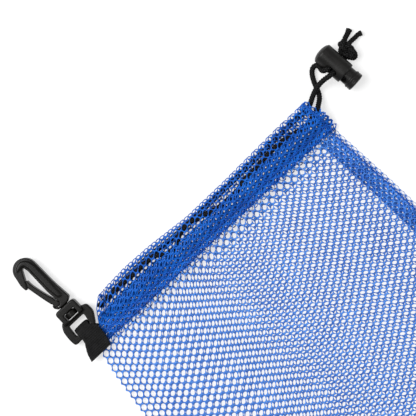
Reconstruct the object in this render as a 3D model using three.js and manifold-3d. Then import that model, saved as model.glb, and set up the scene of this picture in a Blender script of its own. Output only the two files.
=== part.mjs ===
// A mesh drawstring bag for dive gear, lying flat on its back, empty. A snap hook swivels on a webbing loop
// at one corner of the mouth. At the other corner the drawcord's two ends leave the casing, pass through a
// spring cord lock and are tied in a knot.
// Millimetres, +Z up, +X from the hook's corner to the lock's corner, +Y out of the mouth. While the pieces
// are made, the mouth's left corner on the floor is the zero point; the group is centred at the end.
import * as THREE from "three";
import { mergeVertices } from "three/addons/utils/BufferGeometryUtils.js";
import Module from "manifold-3d";

// The bag: one sheet of knitted net, folded at the left side and sewn at the right side and the bottom
const bagLength = 305;
const bagWidth = 240;
const mouthWidth = 193;
const clothWall = 0.7;
const bagLoft = 11; // height of the body where it stands fullest
const foldReach = 45; // how far in from an edge the cloth has risen to its full height
const seamFlange = 4; // net outside the seam's stitch line
const allowanceWidth = 11; // turned in inside the seam
const allowanceThickness = 1;
const clothClearance = 0.25;

// The casing around the mouth, a turned hem that holds the drawcord
const casingDepth = 24.5;
const casingMouthGap = 5; // open height between the front and the back casing
const casingEdgeGap = 0.6; // the same, at the folded and the sewn edge
const hemClearance = 0.2; // between the two layers of the hem

// The drawcord
const cordDiameter = 3.6;
const cordPlay = 0.3;
const tubeSides = 8;
const pieceGap = 0.3; // between pieces that touch

// The webbing loop
const webbingThickness = 1.3;

// The swivel snap hook, with its axis along Y
const hookAxisX = -18.3;
const collarTop = 12.2;
const collarBottom = 2.4;
const collarWidth = 16.2;
const collarThickness = 9.6;
const frameThickness = 4.4; // of the ring that holds the webbing
const hookThickness = 7;
const postRadius = 2.5;
const postHeadRadius = 4.4;
const postHeadLength = 4.1;
const windowLength = 4.9;
const windowClearance = 0.4;
const runningGap = 0.3; // between the hook's moving pieces
const knuckleRadius = 2.3; // of the gate's root
const edgeRound = 0.45;
const gateEdgeRound = 0.3;

// The cord lock, with its axis along the local Y axis, and its zero point where the cords cross it
const lockTurn = THREE.MathUtils.degToRad(5.9);
const lockFromCorner = { x: 31, y: 5.5 };
const barrelRadius = 7.4;
const barrelWall = 1.2;
const barrelClosedEnd = 12.5;
const barrelDome = 2;
const barrelOpenEnd = 8.9;
const barrelEndWall = 1.5;
const plungerNeck = 4.7;
const plungerInnerEnd = 6.3;
const capRadius = 6.65;
const capLength = 4.8;
const cordHoleLength = 8.4; // along the lock's axis, for two cords side by side
const cordHoleWidth = 4.6;
const cordHoleTilt = THREE.MathUtils.degToRad(36); // from level, with the cords entering from above
const plungerSlotEnd = 12.2;
const floorGap = 0.1; // under the lock, which the cords carry

// The sides of the bag, from the mouth down. down is a share of the bag's length, and left and right are
// shares of how much wider the bag is than its mouth.
const sideFlare = [
  { down: 0, left: 0, right: 0 },
  { down: 0.043, left: 0.21, right: 0.045 },
  { down: 0.095, left: 0.48, right: 0.07 },
  { down: 0.15, left: 0.55, right: 0.1 },
  { down: 0.25, left: 0.626, right: 0.155 },
  { down: 0.5, left: 0.745, right: 0.25 },
  { down: 1, left: 0.74, right: 0.255 },
];

// The wave of the mouth's folded edge. across is a share of the mouth's width, out of the casing's depth.
const mouthWave = [
  { across: 0, out: 0.055 },
  { across: 0.15, out: 0.12 },
  { across: 0.265, out: 0.09 },
  { across: 0.425, out: -0.025 },
  { across: 0.605, out: -0.012 },
  { across: 0.76, out: 0.03 },
  { across: 0.87, out: 0.06 },
  { across: 1, out: 0.057 },
];

// The hem's thickness from the fold to the stitch line. along is a share of the depth behind the room that
// the cord needs, and thick runs from the thickness at the cord, 1, to that of the flat hem, 0.
const hemTaper = [
  { along: 0, thick: 1 },
  { along: 0.3, thick: 0.45 },
  { along: 0.6, thick: 0.1 },
  { along: 1, thick: 0 },
];
const cordRoomMiddle = 0.58; // share of the casing's depth that the cord can use
const cordRoomLeft = 0.34; // the same at the folded edge, where the cord turns back
const steeperLeft = 1.2; // how much faster the hem thins there, under the webbing
const cordRoomNarrows = 0.12; // share of the mouth's width over which it narrows

// The webbing's outline below the hook, from the top of its loop. down is measured from the hook's collar,
// middle is the offset from the hook's axis.
const webbingOutline = [
  { down: 4.2, middle: -0.6, width: 11 },
  { down: 8, middle: -1, width: 10.8 },
  { down: 12, middle: 1.1, width: 14.2 },
  { down: 15.8, middle: 0.7, width: 14.6 },
  { down: 20.6, middle: -1, width: 17 },
  { down: 25, middle: -2.3, width: 17.6 },
  { down: 28, middle: -3.4, width: 17 },
];

// The cord's routes, chosen by hand. In the casing, across and y are in the bag's frame, and the height
// follows the hem. The free ends are measured from the mouth's right corner.
const cordInFront = [
  [190.6, -9.0],
  [183.7, -11.0],
  [174.8, -9.6],
  [165.9, -7.6],
  [147.9, -7.2],
  [140.5, -8.1],
  [126.1, -9.0],
  [116.8, -11.2],
  [109.0, -10.9],
  [101.9, -10.4],
  [90.8, -7.2],
  [80.6, -4.6],
  [70.7, -5.9],
  [63.4, -10.2],
  [56.5, -9.5],
  [49.0, -4.9],
  [42.0, -4.2],
  [35.0, -4.2],
  [29.0, -4.1],
  [23.5, -3.8],
  [18.0, -3.5],
  [13.5, -3.5],
  [9.6, -3.6],
];
const cordTurnY = -3.9;
const cordInBack = [
  [12.0, -3.0],
  [28.0, -2.4],
  [46.0, -2.6],
  [66.5, -4.2],
  [84.0, -4.4],
  [98.5, -4.4],
  [120.0, -4.2],
  [141.0, -3.8],
  [162.6, -3.2],
  [180.0, -2.8],
  [190.6, -3.3],
];
const cordEndFromBack = [
  [-1.6, -3.0, 2.8],
  [1.2, -2.0, 2.8],
  [4.9, 0.2, 3.7],
  [11.3, 3.0, 6.4],
  [16.0, 3.7, 8.7],
  [20.0, 3.4, 10.8],
  [22.8, 2.9, 12.1],
  [24.8, 2.8, 12.2],
  [27.0, 3.05, 10.5],
  [37.1, 4.07, 3.1],
];
const cordEndFromFront = [
  [-1.6, -8.7, 9.0],
  [1.6, -7.9, 8.9],
  [4.6, -5.9, 7.0],
  [8.2, -3.6, 4.1],
  [10.5, -0.8, 2.4],
  [11.8, 2.6, 2.1],
  [13.3, 6.6, 2.1],
  [15.1, 10.3, 2.1],
  [17.4, 13.2, 2.1],
  [20.1, 14.2, 2.3],
  [21.3, 12.9, 3.2],
  [21.0, 10.9, 5.6],
  [21.1, 9.2, 8.7],
  [22.5, 7.8, 11.9],
  [24.4, 7.1, 12.7],
  [26.6, 7.05, 10.8],
  [36.7, 8.1, 3.1],
];
const cordTailUpper = [
  [48.4, 14.3, 4.0],
  [51.0, 15.2, 2.9],
  [54.8, 16.8, 2.2],
];
const cordTailLower = [
  [49.3, 7.6, 4.2],
  [53.6, 8.8, 2.6],
  [59.2, 10.0, 2.1],
];
const knotFromCorner = { x: 43.7, y: 7.5, z: 4.8 };

const cordRadius = cordDiameter / 2;
const casingThickness = cordDiameter + 2 * cordPlay + 2 * clothWall;
const hemThickness = 2 * clothWall + hemClearance;
const edgeGap = allowanceThickness + 2 * clothClearance;
const hookAxisZ = collarThickness / 2;

const wasm = await Module();
wasm.setup();

const bag = new THREE.Group();

// Colours and finishes
function finish(color, roughness) {
  return new THREE.MeshStandardMaterial({ color, roughness, metalness: 0 });
}
const netFinish = finish(0x2f5fb4, 0.75);
const cordFinish = finish(0x121214, 0.85);
const webbingFinish = finish(0x222326, 0.8);
const plasticFinish = finish(0x202124, 0.42);

function addPiece(name, geometry, material, parent = bag) {
  const mesh = new THREE.Mesh(geometry, material);
  mesh.name = name;
  parent.add(mesh);
  return mesh;
}

// Solids: a closed geometry becomes a manifold for cutting and joining, and a manifold a geometry again
function toSolid(geometry) {
  const bare = new THREE.BufferGeometry();
  bare.setAttribute("position", geometry.getAttribute("position"));
  if (geometry.index) bare.setIndex(geometry.index);
  const merged = mergeVertices(bare, 1e-4);
  return new wasm.Manifold(
    new wasm.Mesh({
      numProp: 3,
      vertProperties: new Float32Array(merged.getAttribute("position").array),
      triVerts: new Uint32Array(merged.index.array),
    }),
  );
}

function toGeometry(solid) {
  const mesh = solid.getMesh();
  const geometry = new THREE.BufferGeometry();
  geometry.setAttribute("position", new THREE.BufferAttribute(mesh.vertProperties, 3));
  geometry.setIndex(new THREE.BufferAttribute(mesh.triVerts, 1));
  geometry.computeVertexNormals();
  return geometry;
}

// The corners of a flat ring joined into triangles, in the two directions in which the ring is widest
function capTriangles(ring) {
  const normal = new THREE.Vector3();
  ring.forEach((a, i) => {
    const b = ring[(i + 1) % ring.length];
    normal.add(new THREE.Vector3().crossVectors(a, b));
  });
  const size = normal.toArray().map(Math.abs);
  const drop = size.indexOf(Math.max(...size));
  const axes = [0, 1, 2].filter((axis) => axis !== drop);
  const flat = ring.map((p) => new THREE.Vector2(p.getComponent(axes[0]), p.getComponent(axes[1])));
  return THREE.ShapeUtils.triangulateShape(flat, []);
}

// Rings with as many points each, joined one after the other into a closed solid
function loft(rings) {
  const count = rings[0].length;
  const last = (rings.length - 1) * count;
  const points = rings.flat();
  const faces = [];
  for (let i = 0; i + 1 < rings.length; i++) {
    for (let j = 0; j < count; j++) {
      const a = i * count + j;
      const b = i * count + ((j + 1) % count);
      faces.push([a, b, b + count], [a, b + count, a + count]);
    }
  }
  const wide = new THREE.Vector3().subVectors(rings[1][0], rings[0][0]);
  const isForward = (ring, [a, b, c]) => {
    const side = new THREE.Vector3().subVectors(ring[b], ring[a]);
    const other = new THREE.Vector3().subVectors(ring[c], ring[a]);
    return side.cross(other).dot(wide) > 0;
  };
  const first = rings[0];
  const forwardRing = ringNormal(first).dot(wide) > 0;
  for (const tri of capTriangles(first)) {
    const turned = isForward(first, tri) === forwardRing ? [tri[2], tri[1], tri[0]] : tri;
    faces.push(turned);
  }
  const end = rings[rings.length - 1];
  for (const tri of capTriangles(end)) {
    const same = triangleNormal(end, tri).dot(ringNormal(end)) > 0;
    faces.push((same ? tri : [tri[2], tri[1], tri[0]]).map((k) => k + last));
  }
  let volume = 0;
  for (const [a, b, c] of faces) {
    volume += points[a].dot(new THREE.Vector3().crossVectors(points[b], points[c]));
  }
  const geometry = new THREE.BufferGeometry();
  const xyz = new Float32Array(points.flatMap((p) => p.toArray()));
  geometry.setAttribute("position", new THREE.BufferAttribute(xyz, 3));
  geometry.setIndex(faces.flatMap((face) => (volume > 0 ? face : [face[0], face[2], face[1]])));
  return geometry;
}

function ringNormal(ring) {
  const normal = new THREE.Vector3();
  const origin = ring[0];
  for (let i = 1; i + 1 < ring.length; i++) {
    const side = new THREE.Vector3().subVectors(ring[i], origin);
    const other = new THREE.Vector3().subVectors(ring[i + 1], origin);
    normal.add(side.cross(other));
  }
  return normal;
}

function triangleNormal(ring, [a, b, c]) {
  const side = new THREE.Vector3().subVectors(ring[b], ring[a]);
  const other = new THREE.Vector3().subVectors(ring[c], ring[a]);
  return side.cross(other);
}

// The value of a table's column, on a straight line between its rows
function lookUp(rows, by, column, at) {
  if (at <= rows[0][by]) return rows[0][column];
  for (let i = 1; i < rows.length; i++) {
    const [a, b] = [rows[i - 1], rows[i]];
    if (at <= b[by]) return THREE.MathUtils.mapLinear(at, a[by], b[by], a[column], b[column]);
  }
  return rows[rows.length - 1][column];
}

function shares(count) {
  return Array.from({ length: count + 1 }, (_, i) => i / count);
}

// The bag's outline, seen from above
function leftEdge(y) {
  return -(bagWidth - mouthWidth) * lookUp(sideFlare, "down", "left", -y / bagLength);
}

function rightEdge(y) {
  return mouthWidth + (bagWidth - mouthWidth) * lookUp(sideFlare, "down", "right", -y / bagLength);
}

function mouthEdge(x) {
  return casingDepth * lookUp(mouthWave, "across", "out", x / mouthWidth);
}

// How far the cloth has risen at this distance from a flat edge, from 0 to 1
function rise(distance) {
  return THREE.MathUtils.smoothstep(distance, 0, foldReach);
}

// The pocket's inner height
function pocketGap(x, y) {
  const fullGap = bagLoft - 2 * clothWall - edgeGap;
  const sides = rise(x - leftEdge(y)) * rise(rightEdge(y) - x);
  return edgeGap + fullGap * sides * rise(y + bagLength);
}

// The pocket: the body of the bag below the casing, closed by the seam's flange at the right and the bottom
function makePocket() {
  const across = shares(16).map((share) => (1 - Math.cos(Math.PI * share)) / 2);
  const pocketTop = -casingDepth - pieceGap;
  const seamStart = -bagLength + seamFlange;
  const pressStep = 1; // the width over which the layers come together at the flange
  const flangeThickness = 2 * clothWall + hemClearance;
  const edgeHeight = 2 * clothWall + edgeGap;
  const foldBulge = edgeHeight * 0.3;
  const point = (x, y, z) => new THREE.Vector3(x, y, z);

  const outerRing = (y, isFlange) => {
    const left = leftEdge(y);
    const right = rightEdge(y);
    const height = (x) => (isFlange ? flangeThickness : 2 * clothWall + pocketGap(x, y));
    const from = left + foldBulge;
    const to = right - seamFlange;
    const top = across.map((share) => {
      const x = THREE.MathUtils.lerp(from, to, share);
      return point(x, y, height(x));
    });
    const flange = [
      point(to + pressStep, y, flangeThickness),
      point(right, y, flangeThickness),
      point(right, y, 0),
    ];
    return [point(from, y, 0), point(left, y, height(from) / 2), ...top, ...flange];
  };
  const innerRing = (y) => {
    const from = leftEdge(y) + foldBulge;
    const to = rightEdge(y) - seamFlange - clothClearance;
    const top = across.map((share) => {
      const x = THREE.MathUtils.lerp(from, to, share);
      return point(x, y, clothWall + pocketGap(x, y));
    });
    return [...top, point(to, y, clothWall), point(from, y, clothWall)];
  };

  const stations = shares(18).map((share) => {
    const bunched = Math.sin((Math.PI / 2) * share);
    return THREE.MathUtils.lerp(pocketTop, seamStart, bunched);
  });
  const outerRings = stations.map((y) => outerRing(y, false));
  outerRings.push(outerRing(seamStart - pressStep, true), outerRing(-bagLength, true));
  const innerRings = stations.map((y) => innerRing(y));
  innerRings[innerRings.length - 1] = innerRing(seamStart + clothClearance);
  innerRings[0] = innerRing(pocketTop).map((p) => p.setY(pocketTop + pressStep));
  return toGeometry(toSolid(loft(outerRings)).subtract(toSolid(loft(innerRings))));
}

// The seam allowance, turned in and lying inside the pocket: one strip along the side, one along the bottom
function makeSideAllowance() {
  const bottom = clothWall + clothClearance;
  const top = bottom + allowanceThickness;
  const start = -casingDepth - pieceGap;
  const end = -bagLength + seamFlange + pieceGap + clothClearance;
  const rings = shares(8).map((share) => {
    const y = THREE.MathUtils.lerp(start, end, share);
    const outside = rightEdge(y) - seamFlange - clothClearance - pieceGap;
    const inside = outside - allowanceWidth;
    return [
      new THREE.Vector3(inside, y, bottom),
      new THREE.Vector3(outside, y, bottom),
      new THREE.Vector3(outside, y, top),
      new THREE.Vector3(inside, y, top),
    ];
  });
  return loft(rings);
}

function makeBottomAllowance() {
  const bottom = clothWall + clothClearance;
  const low = -bagLength + seamFlange + pieceGap + clothClearance;
  const foldGap = 2;
  const from = leftEdge(low) + foldGap;
  const sideStrip = rightEdge(low) - seamFlange - clothClearance - pieceGap - allowanceWidth;
  const width = sideStrip - pieceGap - from;
  const strip = new THREE.BoxGeometry(width, allowanceWidth, allowanceThickness);
  strip.translate(from + width / 2, low + allowanceWidth / 2, bottom + allowanceThickness / 2);
  return strip;
}

// The casing: a flattened sleeve of net around the mouth, from the right corner over the front, round the
// folded left edge and along the back, open at both ends. share runs across the mouth from left to right,
// along from the folded edge to the stitch line, and inward from the outer face to the inner face.
function awayFromFold(share) {
  return THREE.MathUtils.smoothstep(share, 0, cordRoomNarrows);
}

function cordRoom(share) {
  return THREE.MathUtils.lerp(cordRoomLeft, cordRoomMiddle, awayFromFold(share));
}

// How full the hem is: 1 where it holds the cord, 0 where its layers lie flat
function fullness(share, along) {
  const room = cordRoom(share);
  const steeper = 1 + steeperLeft * (1 - awayFromFold(share));
  const behind = THREE.MathUtils.clamp(((along - room) / (1 - room)) * steeper, 0, 1);
  return lookUp(hemTaper, "along", "thick", behind);
}

function sleeveThickness(share, along) {
  return THREE.MathUtils.lerp(hemThickness, casingThickness, fullness(share, along));
}

function sleevePlace(share, along) {
  const across = mouthWidth * share;
  const low = THREE.MathUtils.lerp(leftEdge(-casingDepth), rightEdge(-casingDepth), share);
  return {
    x: THREE.MathUtils.lerp(across, low, along),
    y: THREE.MathUtils.lerp(mouthEdge(across), -casingDepth, along),
  };
}

function frontTop(share, along) {
  const { x } = sleevePlace(share, along);
  const fromLeft = x - sleevePlace(0, along).x;
  const fromRight = sleevePlace(1, along).x - x;
  const pocketSide = bagLoft - 2 * hemThickness - casingEdgeGap;
  const mouthSide = casingMouthGap - casingEdgeGap;
  const openHeight = THREE.MathUtils.lerp(pocketSide, mouthSide, fullness(share, along));
  const open = casingEdgeGap + openHeight * rise(fromLeft) * rise(fromRight);
  return 2 * sleeveThickness(share, along) + open;
}

function frontPoint(share, along, inward) {
  const { x, y } = sleevePlace(share, along);
  return new THREE.Vector3(x, y, frontTop(share, along) - inward * sleeveThickness(share, along));
}

function backPoint(share, along, inward) {
  const { x, y } = sleevePlace(share, along);
  return new THREE.Vector3(x, y, inward * sleeveThickness(share, along));
}

// turn is 0 at the top of the folded edge and half a turn at its bottom. The edge runs at a slant, so the
// turn is longer across than it is high.
function foldPoint(turn, along, inward) {
  const { x, y } = sleevePlace(0, along);
  const drop = casingDepth + mouthEdge(0);
  const slant = Math.hypot(leftEdge(-casingDepth), drop) / drop;
  const outer = sleeveThickness(0, along) + casingEdgeGap / 2;
  const radius = outer - inward * sleeveThickness(0, along);
  const inside = slant * (outer - radius * Math.sin(turn));
  return new THREE.Vector3(x + inside, y, outer + radius * Math.cos(turn));
}

// The sleeve's section: the round nose at the fold, then both faces to the stitch line
function sleeveSection(share, inset) {
  const noseDepth = casingThickness / 2 / casingDepth;
  const room = cordRoom(share);
  const face = [
    { along: 1, half: 1 },
    { along: room + 0.6 * (1 - room), half: 1 },
    { along: room + 0.3 * (1 - room), half: 1 },
    { along: room, half: 1 },
    { along: noseDepth, half: 1 },
    { along: 0.3 * noseDepth, half: 0.71 },
  ];
  const wall = inset / casingDepth;
  const fit = (row, side) => {
    const along = THREE.MathUtils.lerp(wall, 1 - wall, row.along);
    const wallShare = inset / sleeveThickness(share, along);
    return { along, inward: THREE.MathUtils.lerp(wallShare, 1 - wallShare, (1 + side * row.half) / 2) };
  };
  const outside = face.map((row) => fit(row, -1));
  const inside = face.map((row) => fit(row, 1)).reverse();
  return [...outside, { along: wall, inward: 0.5 }, ...inside];
}

function makeCasing() {
  const nearFold = 0.05;
  const frontShares = shares(24).map((step) => THREE.MathUtils.lerp(1, nearFold, step));
  const backShares = shares(12).map((step) => THREE.MathUtils.lerp(nearFold, 1, step));
  const turns = shares(8).map((step) => Math.PI * step);
  const openEnd = 1.01; // past the sleeve's end, so that the cut opens it
  const sleeve = (inset, end) => {
    const rings = frontShares.map((share, i) =>
      sleeveSection(share, inset).map((p) => frontPoint(i ? share : end, p.along, p.inward)),
    );
    for (const turn of turns) {
      rings.push(sleeveSection(0, inset).map((p) => foldPoint(turn, p.along, p.inward)));
    }
    backShares.forEach((share, i) => {
      const at = i === backShares.length - 1 ? end : share;
      rings.push(sleeveSection(share, inset).map((p) => backPoint(at, p.along, p.inward)));
    });
    return toSolid(loft(rings));
  };
  return toGeometry(sleeve(0, 1).subtract(sleeve(clothWall, openEnd)));
}

// Cords: a tube with one ring of corners at each point of its route
class Route extends THREE.Curve {
  constructor(points) {
    super();
    this.points = points;
  }
  getPoint(t, target = new THREE.Vector3()) {
    const place = t * (this.points.length - 1);
    const i = Math.min(Math.floor(place), this.points.length - 2);
    return target.lerpVectors(this.points[i], this.points[i + 1], place - i);
  }
  getPointAt(u, target) {
    return this.getPoint(u, target);
  }
  getTangentAt(u, target = new THREE.Vector3()) {
    const last = this.points.length - 1;
    const i = Math.round(u * last);
    const ahead = this.points[Math.min(i + 1, last)];
    const behind = this.points[Math.max(i - 1, 0)];
    return target.subVectors(ahead, behind).normalize();
  }
}

function cordTube(points) {
  const section = new THREE.Shape();
  for (let i = 0; i < tubeSides; i++) {
    const angle = ((i + 0.5) / tubeSides) * 2 * Math.PI;
    const corner = [cordRadius * Math.cos(angle), cordRadius * Math.sin(angle)];
    if (i) section.lineTo(...corner);
    else section.moveTo(...corner);
  }
  section.closePath();
  return new THREE.ExtrudeGeometry(section, {
    steps: points.length - 1,
    extrudePath: new Route(points),
    bevelEnabled: false,
  });
}

// Where a point of the mouth's plan lies on the sleeve, which is wider at its stitch line than at its fold
function placeOf(x, y) {
  const edge = mouthEdge(x);
  const along = (edge - y) / (edge + casingDepth);
  const left = along * leftEdge(-casingDepth);
  const right = THREE.MathUtils.lerp(mouthWidth, rightEdge(-casingDepth), along);
  return { share: (x - left) / (right - left), along };
}

function makeHeldCord() {
  const inMiddle = (place, [x, y]) => {
    const { share, along } = placeOf(x, y);
    return new THREE.Vector3(x, y, place(share, along, 0.5).z);
  };
  const turnAlong = placeOf(0, cordTurnY).along;
  const turnPoints = shares(8).map((step) => foldPoint(Math.PI * step, turnAlong, 0.5));
  const route = [
    ...cordInFront.map((p) => inMiddle(frontPoint, p)),
    ...turnPoints,
    ...cordInBack.map((p) => inMiddle(backPoint, p)),
  ];
  return cordTube(route);
}

function fromCorner(points) {
  return points.map(([x, y, z]) => new THREE.Vector3(mouthWidth + x, y, z));
}

// The knot: three turns of cord drawn tight
function makeKnot() {
  const turnRadius = 3;
  const lobeShift = 3.9;
  const ring = () => new THREE.TorusGeometry(turnRadius, cordRadius, 8, 14);
  const leanOut = THREE.MathUtils.degToRad(18);
  const lower = ring().rotateX(leanOut);
  lower.translate(0, -lobeShift, 0);
  const upper = ring().rotateX(-leanOut);
  upper.translate(0, lobeShift, 0);
  const wrap = ring().rotateX(Math.PI / 2).translate(0.2, 0, 0);
  const knot = toSolid(lower).add(toSolid(upper)).add(toSolid(wrap));
  const { x, y, z } = knotFromCorner;
  return toGeometry(knot).translate(mouthWidth + x, y, z);
}

// The webbing loop: folded over the ring's lower bar, with both ends sewn down on the casing's corner
function makeWebbing() {
  const aroundBar = frameThickness / 2 + pieceGap + webbingThickness / 2;
  const barMiddle = 7.4 + webbingThickness / 2; // where the loop's round top is centred, below the collar
  const layerStep = webbingThickness + pieceGap;
  const sewnFrom = 16;
  const end = webbingOutline[webbingOutline.length - 1].down;
  const casingCorner = 5.2; // height of the bag's corner under the webbing
  const backLow = hookAxisZ - aroundBar;
  const backSewn = casingCorner + pieceGap + webbingThickness / 2;
  const frontTopZ = hookAxisZ + aroundBar;
  const backBend = 13.2;
  const backRise = 15.2;
  const riseShare = 0.6;

  const path = [];
  path.push([end, backSewn - 0.4]);
  path.push([(end + sewnFrom) / 2, backSewn]);
  path.push([sewnFrom + 0.6, backSewn]);
  path.push([backRise, THREE.MathUtils.lerp(backLow, backSewn, riseShare)]);
  path.push([backBend, backLow + 0.1]);
  path.push([barMiddle, backLow]);
  for (const step of shares(6).slice(1, -1)) {
    const turn = Math.PI * step;
    path.push([barMiddle - aroundBar * Math.sin(turn), hookAxisZ - aroundBar * Math.cos(turn)]);
  }
  path.push([barMiddle, frontTopZ]);
  path.push([backBend, frontTopZ]);
  path.push([sewnFrom + 0.6, frontTopZ - 0.1]);
  path.push([(end + sewnFrom) / 2, backSewn + layerStep]);
  path.push([end, backSewn + layerStep - 0.4]);

  const rings = path.map(([down, z], i) => {
    const [before, after] = [path[Math.max(i - 1, 0)], path[Math.min(i + 1, path.length - 1)]];
    const run = new THREE.Vector2(after[0] - before[0], after[1] - before[1]).normalize();
    const half = webbingThickness / 2;
    const row = (column) => lookUp(webbingOutline, "down", column, down);
    const left = hookAxisX + row("middle") - row("width") / 2;
    const full = hookAxisX + row("middle") + row("width") / 2;
    const besideBag = z < backSewn - pieceGap && down > barMiddle;
    const right = besideBag ? Math.min(full, leftEdge(-down) - 3 * pieceGap) : full;
    const corner = (x, side) => new THREE.Vector3(x, -(down - side * half * run.y), z + side * half * run.x);
    return [corner(left, -1), corner(right, -1), corner(right, 1), corner(left, 1)];
  });
  return loft(rings);
}

// A flat moulded piece: an outline, with holes, of an even thickness and with rounded edges
function plate(outline, thickness, holes = [], round = edgeRound) {
  const toPoints = (list) => list.map(([x, y]) => new THREE.Vector2(x, y));
  const shape = new THREE.Shape(toPoints(outline));
  for (const hole of holes) shape.holes.push(new THREE.Path(toPoints(hole)));
  const plateGeometry = new THREE.ExtrudeGeometry(shape, {
    depth: thickness - 2 * round,
    bevelEnabled: true,
    bevelThickness: round,
    bevelSize: round,
    bevelOffset: -round,
    bevelSegments: 2,
  });
  plateGeometry.translate(0, 0, -thickness / 2 + round);
  return plateGeometry;
}

// An outline given by a few corners, some of them rounded: each row is x, y and the corner's radius
function rounded(corners) {
  const points = [];
  corners.forEach(([x, y, radius], i) => {
    const here = new THREE.Vector2(x, y);
    if (!radius) {
      points.push([x, y]);
      return;
    }
    const before = corners[(i + corners.length - 1) % corners.length];
    const after = corners[(i + 1) % corners.length];
    const toBefore = new THREE.Vector2(before[0], before[1]).sub(here).normalize();
    const toAfter = new THREE.Vector2(after[0], after[1]).sub(here).normalize();
    const start = here.clone().addScaledVector(toBefore, radius);
    const end = here.clone().addScaledVector(toAfter, radius);
    const curve = new THREE.QuadraticBezierCurve(start, here, end);
    for (const p of curve.getPoints(3)) points.push([p.x, p.y]);
  });
  return points;
}

function cylinderAlongY(radius, from, to, sides = 24) {
  const cylinder = new THREE.CylinderGeometry(radius, radius, to - from, sides);
  cylinder.translate(0, (from + to) / 2, 0);
  return cylinder;
}

// The hook's pieces are made round their swivel axis, with y from the mouth's corner
const gatePivot = { x: -2.7, y: 16.7 };
const windowTop = collarBottom + windowLength;
const postHeadTop = windowTop - windowClearance;

function makeSwivelBase() {
  const half = collarWidth / 2;
  const collar = plate(
    rounded([
      [-half, collarBottom - 1, 0],
      [half, collarBottom - 1, 0],
      [half, collarTop, 2.6],
      [-half, collarTop, 2.6],
    ]),
    collarThickness,
  );
  const ring = plate(
    rounded([
      [-half + 1, 5.2, 0],
      [-10.1, 3.4, 1.5],
      [-12.3, -0.7, 2],
      [-12.9, -7.2, 1.5],
      [-12.4, -12.8, 2],
      [-8.8, -12.9, 1.2],
      [7.4, -11.4, 2.4],
      [12.6, -3.2, 2.4],
      [12.2, 3.2, 1.8],
      [half - 1, 5.2, 0],
    ]),
    frameThickness,
    [
      rounded([
        [-7, -0.6, 0.8],
        [-7.6, -8.8, 1],
        [4.8, -8.1, 1],
        [6.2, -0.6, 0.8],
      ]),
    ],
  );
  const headRoom = postHeadRadius + windowClearance;
  const headWindow = new THREE.BoxGeometry(2 * headRoom, windowLength, 2 * collarThickness);
  headWindow.translate(0, collarBottom + windowLength / 2, 0);
  const postHole = cylinderAlongY(postRadius + runningGap, windowTop - 1, collarTop + 1);
  return toGeometry(
    toSolid(collar).add(toSolid(ring)).subtract(toSolid(headWindow)).subtract(toSolid(postHole)),
  );
}

function makeHookBody() {
  const foot = collarTop + runningGap;
  const outline = rounded([
    [-3.9, foot, 0.6],
    [4.2, foot, 0.8],
    [7.5, 14.6, 1.2],
    [6.1, 28, 4],
    [6.0, 46.6, 4],
    [3.4, 54.7, 3.2],
    [-8.6, 54.2, 3.4],
    [-10.4, 46, 3],
    [-11.8, 41.1, 1.5],
    [-11.3, 36.6, 0.8],
    [-9.7, 37, 0.5],
    [-6.8, 42.6, 1],
    [-3.9, 48.6, 0.8],
    [-2.4, 49.2, 0.6],
    [-1.5, 45.8, 1],
    [-1.5, 26, 3],
    [-0.7, 19.4, 1],
    [-0.4, 17.2, 0.6],
    [-5.6, 17.2, 0],
    [-5.9, 15, 1],
  ]);
  const blade = plate(outline, hookThickness);
  const socket = new THREE.CylinderGeometry(
    knuckleRadius + runningGap,
    knuckleRadius + runningGap,
    2 * hookThickness,
    24,
  );
  socket.rotateX(Math.PI / 2).translate(gatePivot.x, gatePivot.y, 0);
  const headBottom = postHeadTop - postHeadLength;
  const post = cylinderAlongY(postRadius, postHeadTop - 1, foot + 1);
  const head = cylinderAlongY(postHeadRadius, headBottom, postHeadTop);
  return toGeometry(toSolid(blade).subtract(toSolid(socket)).add(toSolid(post)).add(toSolid(head)));
}

function makeGate() {
  const arm = plate(
    rounded([
      [-3.9, 18.2, 0],
      [-1.5, 17.6, 0],
      [-1.5, 20.2, 0.6],
      [-4.1, 28.5, 3],
      [-6.25, 37.5, 3],
      [-6.2, 41.2, 0.35],
      [-7.1, 41.4, 0.35],
      [-9.3, 36.6, 1],
      [-7, 25.4, 3],
      [-5.2, 18.4, 0],
    ]),
    hookThickness,
    [],
    gateEdgeRound,
  );
  const knuckle = new THREE.CylinderGeometry(knuckleRadius, knuckleRadius, hookThickness, 24);
  knuckle.rotateX(Math.PI / 2).translate(gatePivot.x, gatePivot.y, 0);
  return toGeometry(toSolid(arm).add(toSolid(knuckle)));
}

// The cord lock's pieces are made round the local Y axis, with the closed end at +Y
function cordHole(length, width, from, to) {
  const half = width / 2;
  const shape = new THREE.Shape();
  shape.absarc(from + half, 0, half, Math.PI / 2, (3 * Math.PI) / 2, false);
  shape.absarc(to - half, 0, half, -Math.PI / 2, Math.PI / 2, false);
  const hole = new THREE.ExtrudeGeometry(shape, { depth: length, bevelEnabled: false, curveSegments: 8 });
  hole.translate(0, 0, -length / 2);
  hole.rotateZ(Math.PI / 2).rotateY(Math.PI / 2 + cordHoleTilt);
  return hole;
}

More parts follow.
